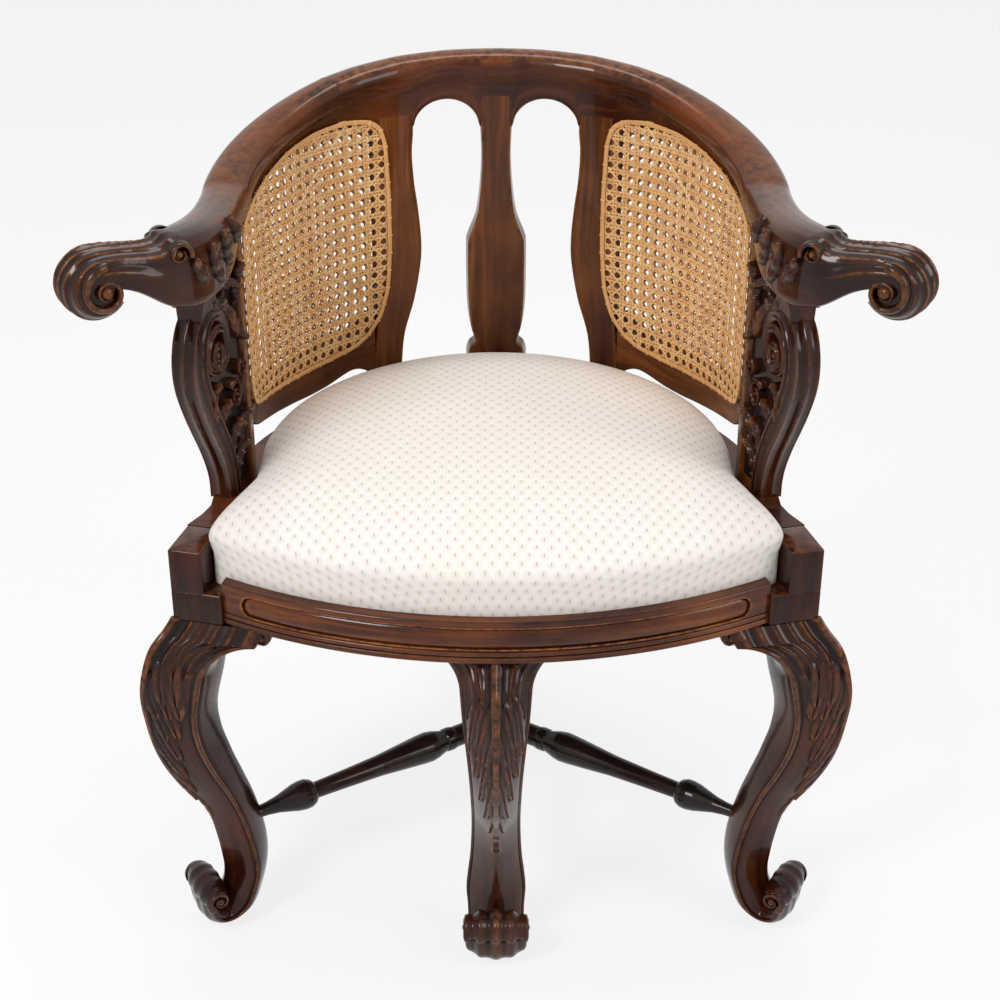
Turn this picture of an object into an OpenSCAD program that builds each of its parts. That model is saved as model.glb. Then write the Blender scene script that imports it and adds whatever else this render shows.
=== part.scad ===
// Cane back desk chair: a tub armchair whose four cabriole legs stand as a cross, one
// in front, one behind and one under each side. A horseshoe of crest rail and scrolled
// arms stands on curved stiles and a splat, with a double caned panel at each side, and
// the upholstered seat drops into a rebate in the seat rails.
// Seen from the front, X runs to the right, Y to the back and Z up, and the names' left and
// right are meant the same way. The origin is on the floor below the middle of the
// stretchers. Azimuths are in degrees from the front.

/* [Seat rails] */
// Height of the seat rails' underside, which is the length of a leg
leg_h = 374; // [350:1:390]
// Height of the seat rails
rail_h = 44; // [40:1:50]
// Radius of the tub measured to the middle of its frame
tub_r = 256; // [248:1:262]
// Distance that the tub's centre lies in front of the middle of the chair
tub_forward = 18; // [14:1:22]
// Thickness of the curved side rails
rail_t = 50; // [46:1:53]
// Distance that the curved side rails stand out past the tub's frame
rail_proud = 9; // [7:1:12]
// Distance of the front rail's face from the middle of the chair
front_reach = 280; // [274:1:286]
// Radius of the front rail's bow
bow_r = 500; // [470:5:560]
// Thickness of the front rail
front_rail_t = 45; // [38:1:48]
// Depth of the rebate that the seat drops into
rebate_h = 12; // [9:1:14]
// Width of the front rail's lip in front of the seat
front_lip = 12; // [9:1:15]
// Width of the ledge under the seat's edge
ledge_w = 12.5; // [10:0.5:14]

/* [Corner blocks] */
// Side of the square block on top of each side leg
block_w = 50; // [46:1:54]
// Height of the block from the rails' underside
block_h = 76; // [70:1:82]
// Distance of the block's middle from the tub's centre
block_r = 321.6; // [316:0.1:326]
// Azimuth of the block and of the side leg, seen from the tub's centre
block_az = 59.2; // [57:0.1:61]
// Width of the step that the seat's corner sits in
step_w = 17; // [14:1:19]

/* [Legs] */
// Distance of the front and back legs' middles from the middle of the chair
leg_reach = 236; // [230:1:240]
// Distance that the knee's middle swings out
knee_swing = 34; // [28:1:38]
// Distance that the shin swings in and the toe swings out
foot_swing = 34; // [33:1:38]
// Half of the knee's width from arris to arris
knee_half = 42; // [38:1:44]
// Half of the ankle's width from arris to arris
ankle_half = 25; // [22:1:26]
// Half of the toe scroll's width
toe_half = 31; // [27:1:33]
// Radius of the line that the toe scroll winds along
toe_turn = 9; // [8:0.5:10]
// Length of a knee ear along its rail
ear_l = 46; // [38:1:52]
// Length of an ear of the front and back legs
middle_ear_l = 27; // [22:1:34]
// Drop of a knee ear below its rail
ear_drop = 58; // [50:1:64]
// Thickness of a knee ear
ear_t = 26; // [20:1:30]
// Radius of the scroll that ends an ear
ear_eye_r = 8; // [6:0.5:9]
// Radius of a foot glide
glide_r = 9; // [7:0.5:11]
// Thickness of a foot glide
glide_h = 4; // [3:0.5:5]
// Radius of the dowels in the front and back legs
leg_dowel_r = 7; // [5:0.5:8]
// Length of those dowels
leg_dowel_l = 50; // [40:1:56]

/* [Stretchers] */
// Height of the stretchers' axis
stretcher_z = 119; // [110:1:128]
// Largest radius of a stretcher
stretcher_r = 16.5; // [14:0.5:19]
// Radius of the round tenon at each end of a stretcher
stretcher_pin_r = 6; // [5:0.5:7]
// Length of that tenon
stretcher_pin_l = 12; // [9:1:14]
// Radius of the boss where the stretchers meet
boss_r = 44; // [40:1:48]
// Height of the boss
boss_h = 40; // [36:1:46]

/* [Tub back] */
// Height of the crest's top above the seat rails
back_h = 386; // [360:1:400]
// Thickness of the tub's frame
tub_t = 24; // [20:1:26]
// Half of the crest's width at its rounded head
head_half = 18.5; // [16:0.5:20]
// Height of the crest's rounded head
head_h = 34; // [28:1:40]
// Height of the arched lower rail of a caned panel at its middle
panel_rail_h = 36; // [30:1:42]
// Length of the tenons of the stiles, splat and panel rails
tenon_l = 18; // [14:1:22]
// Thickness of those tenons
tenon_t = 10; // [8:1:12]
// Width of the tenons of the stiles and the splat
tenon_w = 20; // [16:1:22]

/* [Arms] */
// Distance of the arm's fore end from the tub's centre, before its scroll
arm_reach = 345; // [338:1:352]
// Height of the scroll's middle above the seat rails
volute_rise = 306; // [298:1:314]
// Distance of the scroll's middle from the tub's centre
volute_reach = 402; // [396:1:408]
// Radius of the line that the scroll winds along
volute_turn = 16; // [14:0.5:17]
// Half of the scroll's width
volute_half = 30; // [26:0.5:32]
// Radius of the dowels in the joints between crest and arms
arm_dowel_r = 5; // [4:0.5:6]
// Length of those dowels
arm_dowel_l = 36; // [28:1:44]

/* [Arm supports] */
// Gap for glue between an arm support and the arm on it
support_gap = 0.04; // [0.02:0.01:0.1]
// Thickness of its fluted post
post_t = 32; // [28:1:35]
// Width of the post along the support
post_w = 30; // [26:1:33]
// Thickness of the pierced panel behind the post
pierced_t = 18; // [14:1:22]
// Furthest reach of the support from its stile
support_reach = 138; // [132:1:144]

/* [Cane] */
// Thickness of a layer of cane
cane_t = 1.2; // [0.8:0.1:1.6]
// Width that the cane laps onto the frame
cane_lap = 12; // [9:1:14]
// Width of the binding cane
binding_w = 5; // [4:0.5:6]
// Thickness of the binding cane
binding_t = 1; // [0.8:0.1:1.4]

/* [Seat] */
// Gap between the seat and what it drops into
seat_gap = 1.5; // [1:0.25:2]
// Width of the seat frame's members
seat_member_w = 42; // [34:1:48]
// Thickness of the seat frame's members
seat_member_t = 20; // [16:1:22]
// Width of a webbing strap
strap_w = 48; // [40:1:52]
// Thickness of a webbing strap
strap_t = 2; // [1.5:0.25:2.5]
// Height of the cushion's rim above the corner blocks
cushion_edge_h = 6; // [4:0.5:9]
// Distance that the cushion bulges over the corner blocks
cushion_puff = 6; // [4:0.5:7]
// Height of the cushion's crown above its rim
cushion_crown_h = 46; // [38:1:54]
// Thickness of the cover where it is drawn down round the seat frame
cover_t = 2; // [1.5:0.25:2.5]
// Thickness of the cloth under the seat
dust_cloth_t = 1; // [0.8:0.1:1.4]
// Radius of the glue block screws
screw_r = 2.5; // [2:0.25:3]
// Length of the glue block screws
screw_l = 34; // [28:1:38]
// Side of a triangular glue block
glue_w = 38; // [32:1:42]
// Height of a glue block
glue_h = 26; // [20:1:28]

/* [Hidden] */
$fn = 96;

mahogany = [0.27, 0.11, 0.06];
dark_mahogany = [0.16, 0.07, 0.045];
beech = [0.70, 0.55, 0.38];
honey = [0.80, 0.60, 0.36];
cream = [0.93, 0.89, 0.82];

// Room for glue round a tenon, and the overrun of every cut
glue_gap = 0.15;
over = 2;
// Gap between soft or curved faces that only lie close
lie_gap = 0.3;

rail_top = leg_h + rail_h;
block_top = leg_h + block_h;
ledge_z = rail_top - rebate_h;
tub_in = tub_r - tub_t / 2;
tub_out = tub_r + tub_t / 2;
rail_out = tub_out + rail_proud;
rail_in = rail_out - rail_t;
seat_r = rail_in + ledge_w - seat_gap;
bow_y = bow_r - front_reach;
half_diag = block_w / sqrt(2);
side_x = block_r * sin(block_az);
side_y = -tub_forward - block_r * cos(block_az);

// Azimuths, seen from the tub's centre, that the pieces of the back share
front_stile_from = 84.5;
front_stile_to = 91;
scarf_az = 138;
splat_half_az = 4.2;
arch_az = 12.2;
arch_half_az = 8;
back_stile_out_az = 149.5;

function mix(a, b, t) = a * (1 - t) + b * t;
function back_z(share) = rail_top + back_h * share;
function polar(r, az) = [r * sin(az), -tub_forward - r * cos(az)];
function at_z(p, z) = [p[0], p[1], z];
function reversed(list) = [for (i = [len(list) - 1 : -1 : 0]) list[i]];

// A smooth curve through a list of stations, with a number of steps to each span
function blend4(p, t) =
    0.5 * ((2 * p[1]) + (p[2] - p[0]) * t + (2 * p[0] - 5 * p[1] + 4 * p[2] - p[3]) * t * t
    + (3 * p[1] - p[0] - 3 * p[2] + p[3]) * t * t * t);
function smooth(s, steps) = let (n = len(s)) concat(
    [for (i = [0 : n - 2], j = [0 : steps - 1])
        blend4([s[max(i - 1, 0)], s[i], s[i + 1], s[min(i + 2, n - 1)]], j / steps)],
    [s[n - 1]]);

// A closed solid through rings of equally many points, which run anticlockwise when
// they are seen from the first towards the last
module skin(rings) {
    n = len(rings[0]);
    m = len(rings);
    points = concat([for (ring = rings) each ring], [middle(rings[0]), middle(rings[m - 1])]);
    sides = [for (i = [0 : m - 2], j = [0 : n - 1])
        let (a = i * n + j, b = i * n + (j + 1) % n, c = a + n, d = b + n)
        each [[a, b, d], [a, d, c]]];
    ends = [for (j = [0 : n - 1]) let (k = (j + 1) % n, last = (m - 1) * n)
        each [[k, j, m * n], [last + j, last + k, m * n + 1]]];
    polyhedron(points, concat(sides, ends), convexity = 6);
}
function middle(ring) = [for (i = [0 : 2]) sum([for (p = ring) p[i]]) / len(ring)];
function sum(list) = list * [for (v = list) 1];

// A closed band through rings whose last joins the first
module loop_skin(rings) {
    n = len(rings[0]);
    m = len(rings);
    points = [for (ring = rings) each ring];
    sides = [for (i = [0 : m - 1], j = [0 : n - 1])
        let (k = (i + 1) % m, l = (j + 1) % n, a = i * n + j, b = i * n + l, c = k * n + j, d = k * n + l)
        each [[a, b, d], [a, d, c]]];
    polyhedron(points, sides, convexity = 6);
}

// Places its child, whose X points outward, at a radius and azimuth about a point
module radial(az, r, y) {
    translate([0, y, 0]) rotate([0, 0, az - 90]) translate([r, 0, 0]) children();
}

module mirrored(side) {
    if (side < 0) mirror([1, 0, 0]) children();
    else children();
}

// A plate bent round the tub's centre, from its underside and top heights by azimuth
module bent_plate(azimuths, lows, tops, r_in, r_out) {
    skin([for (i = [0 : len(azimuths) - 1]) let (a = azimuths[i]) [
        at_z(polar(r_in, a), lows[i]), at_z(polar(r_out, a), lows[i]),
        at_z(polar(r_out, a), tops[i]), at_z(polar(r_in, a), tops[i])]]);
}

// An upright bent round the tub's centre: each row is a height and two azimuths
module bent_post(rows, r_in, r_out) {
    skin([for (row = rows) let (turns = [for (k = [0 : 4]) mix(row[1], row[2], k / 4)])
        concat([for (a = turns) at_z(polar(r_in, a), row[0])],
            [for (a = reversed(turns)) at_z(polar(r_out, a), row[0])])]);
}

// A flat tenon on the tub's line, grown by a gap where it is cut as a mortise
module tenon(az, z, length, gap = 0) {
    radial(az, tub_r, -tub_forward) translate([0, 0, z + length / 2])
        cube([tenon_t + 2 * gap, tenon_w + 2 * gap, length + 2 * gap], center = true);
}

// Legs

// Rows of the leg's line: outward place as a share of the swing, height as a share of
// the leg, half widths as shares of the knee and its roundness
leg_line_shares = [
    [0.22, 0.970, 0.87, 0.85, 1.08], [0.60, 0.917, 0.98, 0.82, 1.15],
    [0.88, 0.818, 1.00, 0.75, 1.2], [0.98, 0.719, 0.86, 0.66, 1.2],
    [0.83, 0.628, 0.79, 0.60, 1.2], [0.46, 0.535, 0.71, 0.57, 1.2],
    [0.06, 0.455, 0.62, 0.56, 1.2]
];
// The same below the knee, with half widths as shares of the ankle
shin_line_shares = [
    [-0.26, 0.374, 1.00, 0.96, 1.2], [-0.46, 0.294, 1.02, 1.02, 1.2],
    [-0.56, 0.230, 1.02, 1.12, 1.2], [-0.57, 0.176, 0.98, 1.18, 1.25]
];
// The foot's line from the heel to the toe scroll, with the width as a share of the toe
foot_line_shares = [
    [-0.44, 0.121, 0.90, 0.78, 1.35], [-0.176, 0.071, 0.85, 0.74, 1.45],
    [0.28, 0.047, 0.583, 0.74, 1.6], [0.72, 0.065, 0.47, 0.90, 1.8]
];
// Turns of the toe scroll in degrees, with its thickness as a share of the turn
toe_turns = [-30, 2, 34, 66, 98, 130];
toe_thick_share = 0.82;
toe_middle_shares = [0.70, 0.129];

leg_ring_points = 16;
function toe_row(t) = [
    toe_middle_shares[0] * foot_swing + toe_turn * cos(t),
    toe_middle_shares[1] * leg_h + toe_turn * sin(t), toe_thick_share * toe_turn, toe_half, 2];
function leg_rows() = smooth(concat(
    [for (s = leg_line_shares)
        [s[0] * knee_swing, s[1] * leg_h, s[2] * knee_half, s[3] * knee_half, s[4]]],
    [for (s = shin_line_shares)
        [s[0] * foot_swing, s[1] * leg_h, s[2] * ankle_half, s[3] * ankle_half, s[4]]],
    [for (s = foot_line_shares)
        [s[0] * foot_swing, s[1] * leg_h, s[2] * ankle_half, s[3] * toe_half, s[4]]],
    [toe_row(toe_turns[0])]), 2);

function leg_ring(row, slope) = [for (i = [0 : leg_ring_points - 1])
    let (t = 360 * i / leg_ring_points, p = row[4],
        m = pow(pow(abs(cos(t)), p) + pow(abs(sin(t)), p), 1 / p),
        u = row[2] * cos(t) / m, v = row[3] * sin(t) / m)
    [row[0] + u * cos(slope), v, row[1] + u * sin(slope)]];

// A ring lies level in the knee, and below it turns square to the line
turned_shares = [[0.60, 1], [0.75, 0]];
function line_slope(rows, i) =
    let (a = rows[max(i - 1, 0)], b = rows[min(i + 1, len(rows) - 1)])
    (atan2(b[1] - a[1], b[0] - a[0]) + 90) * lookup(rows[i][1] / leg_h, turned_shares);

module leg_body(top) {
    rows = leg_rows();
    tops = top > leg_h ? [top, leg_h] : [leg_h];
    skin(concat([for (z = tops) leg_ring([0, z, half_diag, half_diag, 1], 0)],
        [for (i = [0 : len(rows) - 2]) leg_ring(rows[i], line_slope(rows, i))],
        [for (t = toe_turns) leg_ring(toe_row(t), t + 180)]));
}

// A scrolled ear beside the knee: X runs along the rail and Z up to its underside
ear_hollow_share = 0.86;
ear_back_share = 0.33;
module ear(length) {
    hollow_r = ear_hollow_share * length;
    back = ear_back_share * block_w;
    rotate([90, 0, 0]) linear_extrude(ear_t, center = true) {
        difference() {
            translate([-back, -ear_drop]) square([length + back, ear_drop]);
            translate([length, -ear_drop]) circle(hollow_r);
        }
        translate([length - ear_eye_r, -ear_eye_r]) circle(ear_eye_r);
    }
}

// Both ears of a leg, along the two rails that meet over it, set outward from their middle
module ears(turns, length, outward = 0) {
    for (turn = turns)
        rotate([0, 0, turn]) translate([ear_start, -sign(turn) * outward, leg_h]) ear(length);
}
ear_start = block_w / 2 - glue_gap;

// Where the stretchers meet the legs' inner arrises, and their azimuths from the middle
leg_inner = -lookup(stretcher_z, [for (row = leg_rows()) [row[1], row[0] - row[2]]]);
side_end = polar(block_r - leg_inner, block_az);
side_end_az = atan2(side_end[0], -side_end[1]);
module stretcher_hole(az, start) {
    rotate([0, 0, az - 90]) translate([start, 0, stretcher_z]) rotate([0, 90, 0])
        cylinder(r = stretcher_pin_r + glue_gap, h = stretcher_pin_l + glue_gap + over);
}
module leg_dowel_hole() {
    translate([0, 0, leg_h - leg_dowel_l / 2 - glue_gap])
        cylinder(r = leg_dowel_r + glue_gap, h = leg_dowel_l);
}

module middle_leg(az) {
    color(mahogany) difference() {
        radial(az, leg_reach, 0) difference() {
            union() {
                leg_body(leg_h);
                ears([90, -90], middle_ear_l);
            }
            leg_dowel_hole();
            heel_seat();
        }
        stretcher_hole(az, leg_reach - leg_inner - over);
    }
}
module leg_front() middle_leg(0);
module leg_back() middle_leg(180);

// The side legs carry the corner block, stepped for the seat and mortised for the rails
module side_leg(side) {
    color(mahogany) mirrored(side) difference() {
        side_leg_wood();
        translate([0, 0, ledge_z]) linear_extrude(block_h) opening_plan(0);
        stretcher_hole(side_end_az, norm(side_end) - over);
    }
}
module side_leg_wood() {
    radial(block_az, block_r, -tub_forward) difference() {
        union() {
            leg_body(block_top);
            ears([-135, 135], ear_l, (block_w - ear_t) / 2);
        }
        rotate([0, 0, 45]) translate([-block_w / 2 - over, -block_w / 2 - over, rail_top])
            cube([step_w + over, block_w + 2 * over, block_h]);
        rail_mortise(-135);
        rail_mortise(135);
        heel_seat();
    }
}
module leg_left() side_leg(-1);
module leg_right() side_leg(1);

// The tenon of a rail into the block, in the block's own frame
block_tenon_l = tenon_l;
module rail_tenon(turn, gap = 0) {
    rotate([0, 0, turn]) translate([block_w / 2 - block_tenon_l, -tenon_t / 2, leg_h + over])
        translate([-gap, -gap, -gap])
        cube([block_tenon_l + over + gap, tenon_t + 2 * gap, rail_h - rebate_h - 2 * over + 2 * gap]);
}
module rail_mortise(turn) rail_tenon(turn, glue_gap);

// The glides lie in a flat under each foot
sole_share = 0.24;
sole_x = sole_share * foot_swing;
module heel_seat() {
    translate([sole_x, 0, -leg_h]) cylinder(r = toe_half * 2, h = leg_h + glide_h);
}
module glide() translate([sole_x, 0, 0]) cylinder(r = glide_r, h = glide_h);
module glides() color(dark_mahogany) {
    radial(0, leg_reach, 0) glide();
    radial(180, leg_reach, 0) glide();
    for (side = [-1, 1]) radial(side * block_az, block_r, -tub_forward) glide();
}
module leg_dowels() color(beech) for (az = [0, 180]) radial(az, leg_reach, 0)
    translate([0, 0, leg_h - leg_dowel_l / 2]) cylinder(r = leg_dowel_r, h = leg_dowel_l - 2 * glue_gap);

// Seat rails

// A point of the corner block's square, seen from above, on the right side
block_turn = block_az - 45;
function block_point(x, y) = [
    side_x + x * cos(block_turn) - y * sin(block_turn),
    side_y + x * sin(block_turn) + y * cos(block_turn)];

// The plan of the opening that the seat drops into, moved out by a distance
flare_share = 0.22;
flare_y = -tub_forward - rail_out * flare_share;
module opening_plan(grow) {
    half = block_w / 2;
    side = seat_r + seat_gap + grow;
    inner = -half + step_w + grow;
    right = [[side, -tub_forward], [side, flare_y], block_point(inner, half),
        block_point(inner, -half - over), [side_x, -front_reach - over]];
    intersection() {
        translate([0, bow_y]) circle(bow_r - front_lip + grow, $fn = 360);
        union() {
            translate([0, -tub_forward]) circle(side, $fn = 180);
            polygon(concat(right, [for (q = reversed(right)) [-q[0], q[1]]]));
        }
    }
}

// The plan inside the ledges, open from top to bottom
module through_plan(grow = 0) {
    intersection() {
        opening_plan(grow - ledge_w);
        translate([0, bow_y]) circle(bow_r - front_rail_t + grow, $fn = 360);
    }
}

// The half plane on the far side of a block's face from the block
far = 2 * (block_r + rail_out);
module beyond_face(turn) {
    translate([side_x, side_y]) rotate(block_az - 90 + turn)
        translate([block_w / 2, -far]) square([far, 2 * far]);
}

module rail_hollow() {
    translate([0, 0, leg_h - over]) linear_extrude(rail_h + over + block_h) through_plan();
    translate([0, 0, ledge_z]) linear_extrude(block_h) opening_plan(0);
}

// Height of the sunk panel along the front rail, and of the swell in it
sunk_h_share = 0.56;
sunk_depth_share = 0.09;
sunk_end_share = 0.985;
module front_rail() {
    sunk_h = sunk_h_share * rail_h;
    sunk = sunk_depth_share * front_rail_t;
    swell_r = sunk_h / 2;
    color(mahogany) difference() {
        union() {
            translate([0, 0, leg_h]) linear_extrude(rail_h) intersection() {
                difference() {
                    translate([0, bow_y]) circle(bow_r, $fn = 360);
                    translate([0, bow_y]) circle(bow_r - front_rail_t, $fn = 360);
                }
                beyond_face(-135);
                mirror([1, 0]) beyond_face(-135);
                translate([-far, -front_reach - over]) square([2 * far, front_reach]);
                difference() {
                    square(2 * far, center = true);
                    side_rail_plan();
                    mirror([1, 0]) side_rail_plan();
                }
            }
            for (side = [-1, 1]) mirrored(side)
                radial(block_az, block_r, -tub_forward) rail_tenon(-135);
        }
        rail_hollow();
        translate([0, bow_y, leg_h + rail_h / 2]) intersection() {
            difference() {
                cylinder(r = bow_r + over, h = sunk_h, center = true, $fn = 360);
                cylinder(r = bow_r - sunk, h = sunk_h + over, center = true, $fn = 360);
                rotate_extrude($fn = 360) translate([bow_r - swell_r, 0]) circle(swell_r, $fn = 48);
            }
            sunk_wedge(sunk_h);
        }
        radial(0, leg_reach, 0) rail_dowel_hole();
        for (side = [-1, 1]) mirrored(side) screws(glue_gap);
    }
}

// The stretch of the front rail that the sunk panel takes, with round ends
module sunk_wedge(height) {
    end_x = sunk_end_share * (side_x - block_w / 2);
    rotate([90, 0, 0]) linear_extrude(bow_r + far) {
        square([2 * end_x - height, height], center = true);
        for (side = [-1, 1]) translate([side * (end_x - height / 2), 0]) circle(height / 2);
    }
}

module rail_dowel_hole() {
    translate([0, 0, leg_h - over])
        cylinder(r = leg_dowel_r + glue_gap, h = leg_dowel_l / 2 + over + glue_gap);
}

// Each side rail runs from its block round to the back leg, and its front end is
// raised to carry the arm support
scoop_y = -tub_forward - tub_r * sin(90 - front_stile_from);
module side_rail_plan() {
    difference() {
        intersection() {
            union() {
                translate([0, -tub_forward]) circle(rail_out, $fn = 180);
                translate([0, side_y]) square([rail_out, -tub_forward - side_y]);
            }
            beyond_face(135);
            translate([0, -far]) square([far, 2 * far]);
        }
        through_plan();
    }
}
saddle_base_share = 0.36;
saddle_bend_share = 0.45;
module saddle_plan() {
    corner = block_point(block_w / 2, block_w / 2);
    base_y = mix(corner[1], scoop_y, saddle_base_share);
    difference() {
        intersection() {
            polygon([[rail_in, scoop_y], [rail_out, scoop_y], [rail_out, base_y],
                mix([rail_out, base_y], corner, saddle_bend_share) - [over, 0], corner,
                block_point(-block_w / 2, block_w / 2)]);
            beyond_face(135);
        }
        opening_plan(0);
    }
}

module side_rail(side) {
    scoop_r = block_top - rail_top;
    color(mahogany) mirrored(side) difference() {
        union() {
            translate([0, 0, leg_h]) linear_extrude(rail_h) side_rail_plan();
            difference() {
                translate([0, 0, leg_h]) linear_extrude(block_h) saddle_plan();
                translate([rail_in - over, scoop_y, block_top]) rotate([0, 90, 0])
                    cylinder(r = scoop_r, h = rail_t + 2 * over);
            }
            radial(block_az, block_r, -tub_forward) rail_tenon(135);
        }
        rail_hollow();
        tenon(front_stile_mid, rail_top - tenon_l, tenon_l + over, glue_gap);
        tenon(back_stile_mid, rail_top - tenon_l, tenon_l + over, glue_gap);
        tenon(180, rail_top - tenon_l, tenon_l + over, glue_gap);
        support_frame() support_tenon(glue_gap);
        radial(180, leg_reach, 0) rail_dowel_hole();
        screws(glue_gap);
    }
}
module side_rail_left() side_rail(-1);
module side_rail_right() side_rail(1);
front_stile_mid = (front_stile_from + front_stile_to) / 2;
back_stile_mid = 151;

// Glue blocks fill the inner corners behind the front rail
glue_corner = block_point(-block_w / 2 + step_w - ledge_w, block_w / 2);
glue_z = leg_h + (ledge_z - leg_h - glue_h) / 2;
module glue_block(side) {
    mirrored(side) difference() {
        translate([0, 0, glue_z]) linear_extrude(glue_h) intersection() {
            through_plan(-glue_gap);
            translate(glue_corner) circle(glue_w);
        }
        screws(glue_gap);
    }
}
module glue_blocks() color(beech) for (side = [-1, 1]) glue_block(side);

// One screw runs into the front rail and one into the side rail
screw_in_share = 0.45;
module screws(gap = 0) {
    middle = glue_corner + [-glue_w * screw_in_share, glue_w * screw_in_share];
    translate([middle[0], middle[1], glue_z + glue_h / 3]) rotate([90, 0, 0])
        cylinder(r = screw_r + gap, h = screw_l + gap);
    translate([middle[0], middle[1], glue_z + 2 * glue_h / 3]) rotate([0, 90, 0])
        cylinder(r = screw_r + gap, h = screw_l + gap);
}
module rail_screws() color("silver") for (side = [-1, 1]) mirrored(side) screws();

// Stretchers

// Rows along a stretcher from the leg to the boss, with radii as shares of the largest
turning_shares = [
    [0.00, 0.39], [0.03, 0.42], [0.077, 0.53], [0.125, 0.73], [0.16, 0.88], [0.19, 0.95],
    [0.215, 0.94], [0.235, 0.82], [0.246, 0.66], [0.25, 0.53], [0.393, 0.59], [0.559, 0.69],
    [0.686, 0.87], [0.76, 0.97], [0.80, 1.00], [0.83, 0.93], [0.858, 0.80], [0.88, 0.70],
    [0.885, 0.76], [0.91, 0.78], [0.925, 0.74], [0.93, 0.70], [1.00, 0.70]
];
module stretcher(start, length) {
    pin = stretcher_pin_r;
    translate([0, 0, stretcher_z]) rotate([0, 90, 0])
        rotate_extrude($fn = 48) polygon(concat(
            [[0, start - stretcher_pin_l], [pin, start - stretcher_pin_l], [pin, start]],
            [for (s = turning_shares) [stretcher_r * s[1], start + length * s[0]]],
            [[pin, start + length], [pin, start + length + boss_pin_l],
             [0, start + length + boss_pin_l]]));
}

boss_flat_share = 0.86;
boss_pin_share = 0.45;
boss_pin_l = boss_pin_share * stretcher_pin_l;
boss_flat = boss_r * boss_flat_share;
module stretcher_front() color(dark_mahogany) turned_toward(0, leg_reach - leg_inner);
module stretcher_back() color(dark_mahogany) turned_toward(180, leg_reach - leg_inner);
module stretcher_right() color(dark_mahogany) turned_toward(side_end_az, norm(side_end));
module stretcher_left() color(dark_mahogany) mirror([1, 0, 0]) turned_toward(side_end_az, norm(side_end));

// A stretcher from the boss to a leg whose arris is at a distance from the middle
module turned_toward(az, reach) {
    rotate([0, 0, az - 90]) translate([reach + boss_flat, 0, 0]) mirror([1, 0, 0])
        stretcher(boss_flat, reach - boss_flat);
}

// Outline of the turned boss, as shares of its radius and of its height
boss_shares = [
    [0.00, 0.00], [0.45, 0.00], [0.62, 0.06], [0.66, 0.14], [0.86, 0.20], [0.86, 0.80],
    [0.66, 0.86], [0.62, 0.94], [0.45, 1.00], [0.00, 1.00]
];
module stretcher_boss() color(dark_mahogany) difference() {
    translate([0, 0, stretcher_z - boss_h / 2]) rotate_extrude()
        polygon([for (s = boss_shares) [s[0] * boss_r, s[1] * boss_h]]);
    for (az = [0, 180, side_end_az, -side_end_az])
        stretcher_hole(az, boss_flat - boss_pin_l - glue_gap);
}

// Tub back

// The cane's upper and lower edges by azimuth, as shares of the back's height
cane_top_shares = [
    [89, 0.575], [89.5, 0.685], [92, 0.729], [100, 0.754], [110, 0.790], [120, 0.824],
    [130, 0.847], [140, 0.855], [147, 0.845], [150.5, 0.821], [151.8, 0.769], [152.4, 0.627]
];
cane_low_shares = [
    [89, 0.472], [89.5, 0.302], [91, 0.255], [94, 0.226], [100, 0.205], [110, 0.190],
    [120, 0.181], [132, 0.181], [140, 0.192], [145, 0.218], [149, 0.269], [151.5, 0.350],
    [152.4, 0.472]
];
function cane_top(az) = back_z(lookup(az, cane_top_shares));
function cane_low(az) = back_z(lookup(az, cane_low_shares));

// Underside of the arms in front of the cane, and of the crest at the stiles, the
// splat and the crown of an arch
arm_low_share = 0.697;
crest_stile_share = 0.788;
crest_splat_share = 0.829;
arch_spring_share = 0.800;
arch_rise_share = 0.070;

// Each upright stands on the seat rails and has a tenon at each end
front_stile_top = back_z(arm_low_share);
module stile_front(side) {
    color(mahogany) mirrored(side) difference() {
        union() {
            bent_post([
                [rail_top, front_stile_from, front_stile_to],
                [front_stile_top, front_stile_from, front_stile_to]], tub_in, tub_out);
            tenon(front_stile_mid, rail_top - tenon_l, tenon_l + over);
        }
        panel_rail_tenon(front_stile_to, panel_front_share, glue_gap);
    }
}
module stile_front_left() stile_front(-1);
module stile_front_right() stile_front(1);

// Rows of the back stile: height as a share of the back's, azimuths of its two edges
back_stile_rows = [
    [0.000, 147.0, 154.4], [0.100, 147.0, 154.8], [0.200, 147.6, 155.8],
    [0.300, 148.6, 158.6], [0.400, 149.4, 160.4], [0.470, 149.5, 160.8],
    [0.560, 149.5, 160.2], [0.650, 149.5, 159.2], [0.730, 149.5, 158.8], [0.788, 149.5, 159.2]
];
// Rows of half of the splat
splat_rows = [
    [0.000, 6.5], [0.060, 6.0], [0.075, 6.8], [0.105, 7.4], [0.135, 6.8], [0.150, 5.6],
    [0.165, 5.7], [0.200, 6.5], [0.250, 7.0], [0.320, 7.2], [0.440, 7.2], [0.470, 6.8],
    [0.530, 4.9], [0.600, 4.0], [0.700, 3.5], [0.800, 3.8], [0.829, 4.05]
];
module stile_back(side) {
    color(mahogany) mirrored(side) difference() {
        union() {
            bent_post([for (row = back_stile_rows) [back_z(row[0]), row[1], row[2]]],
                tub_in, tub_out);
            tenon(back_stile_mid, rail_top - tenon_l, tenon_l + over);
            tenon(back_stile_top_mid, back_z(crest_stile_share) - over, tenon_l + over);
        }
        panel_rail_tenon(panel_back_az, panel_back_share, glue_gap);
    }
}
back_stile_top_mid = 154.3;
module stile_back_left() stile_back(-1);
module stile_back_right() stile_back(1);
module splat() color(mahogany) {
    bent_post([for (row = splat_rows) [back_z(row[0]), 180 - row[1], 180 + row[1]]],
        tub_in, tub_out);
    tenon(180, rail_top - tenon_l, tenon_l + over);
    tenon(180, back_z(crest_splat_share) - over, tenon_l + over);
}

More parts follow.
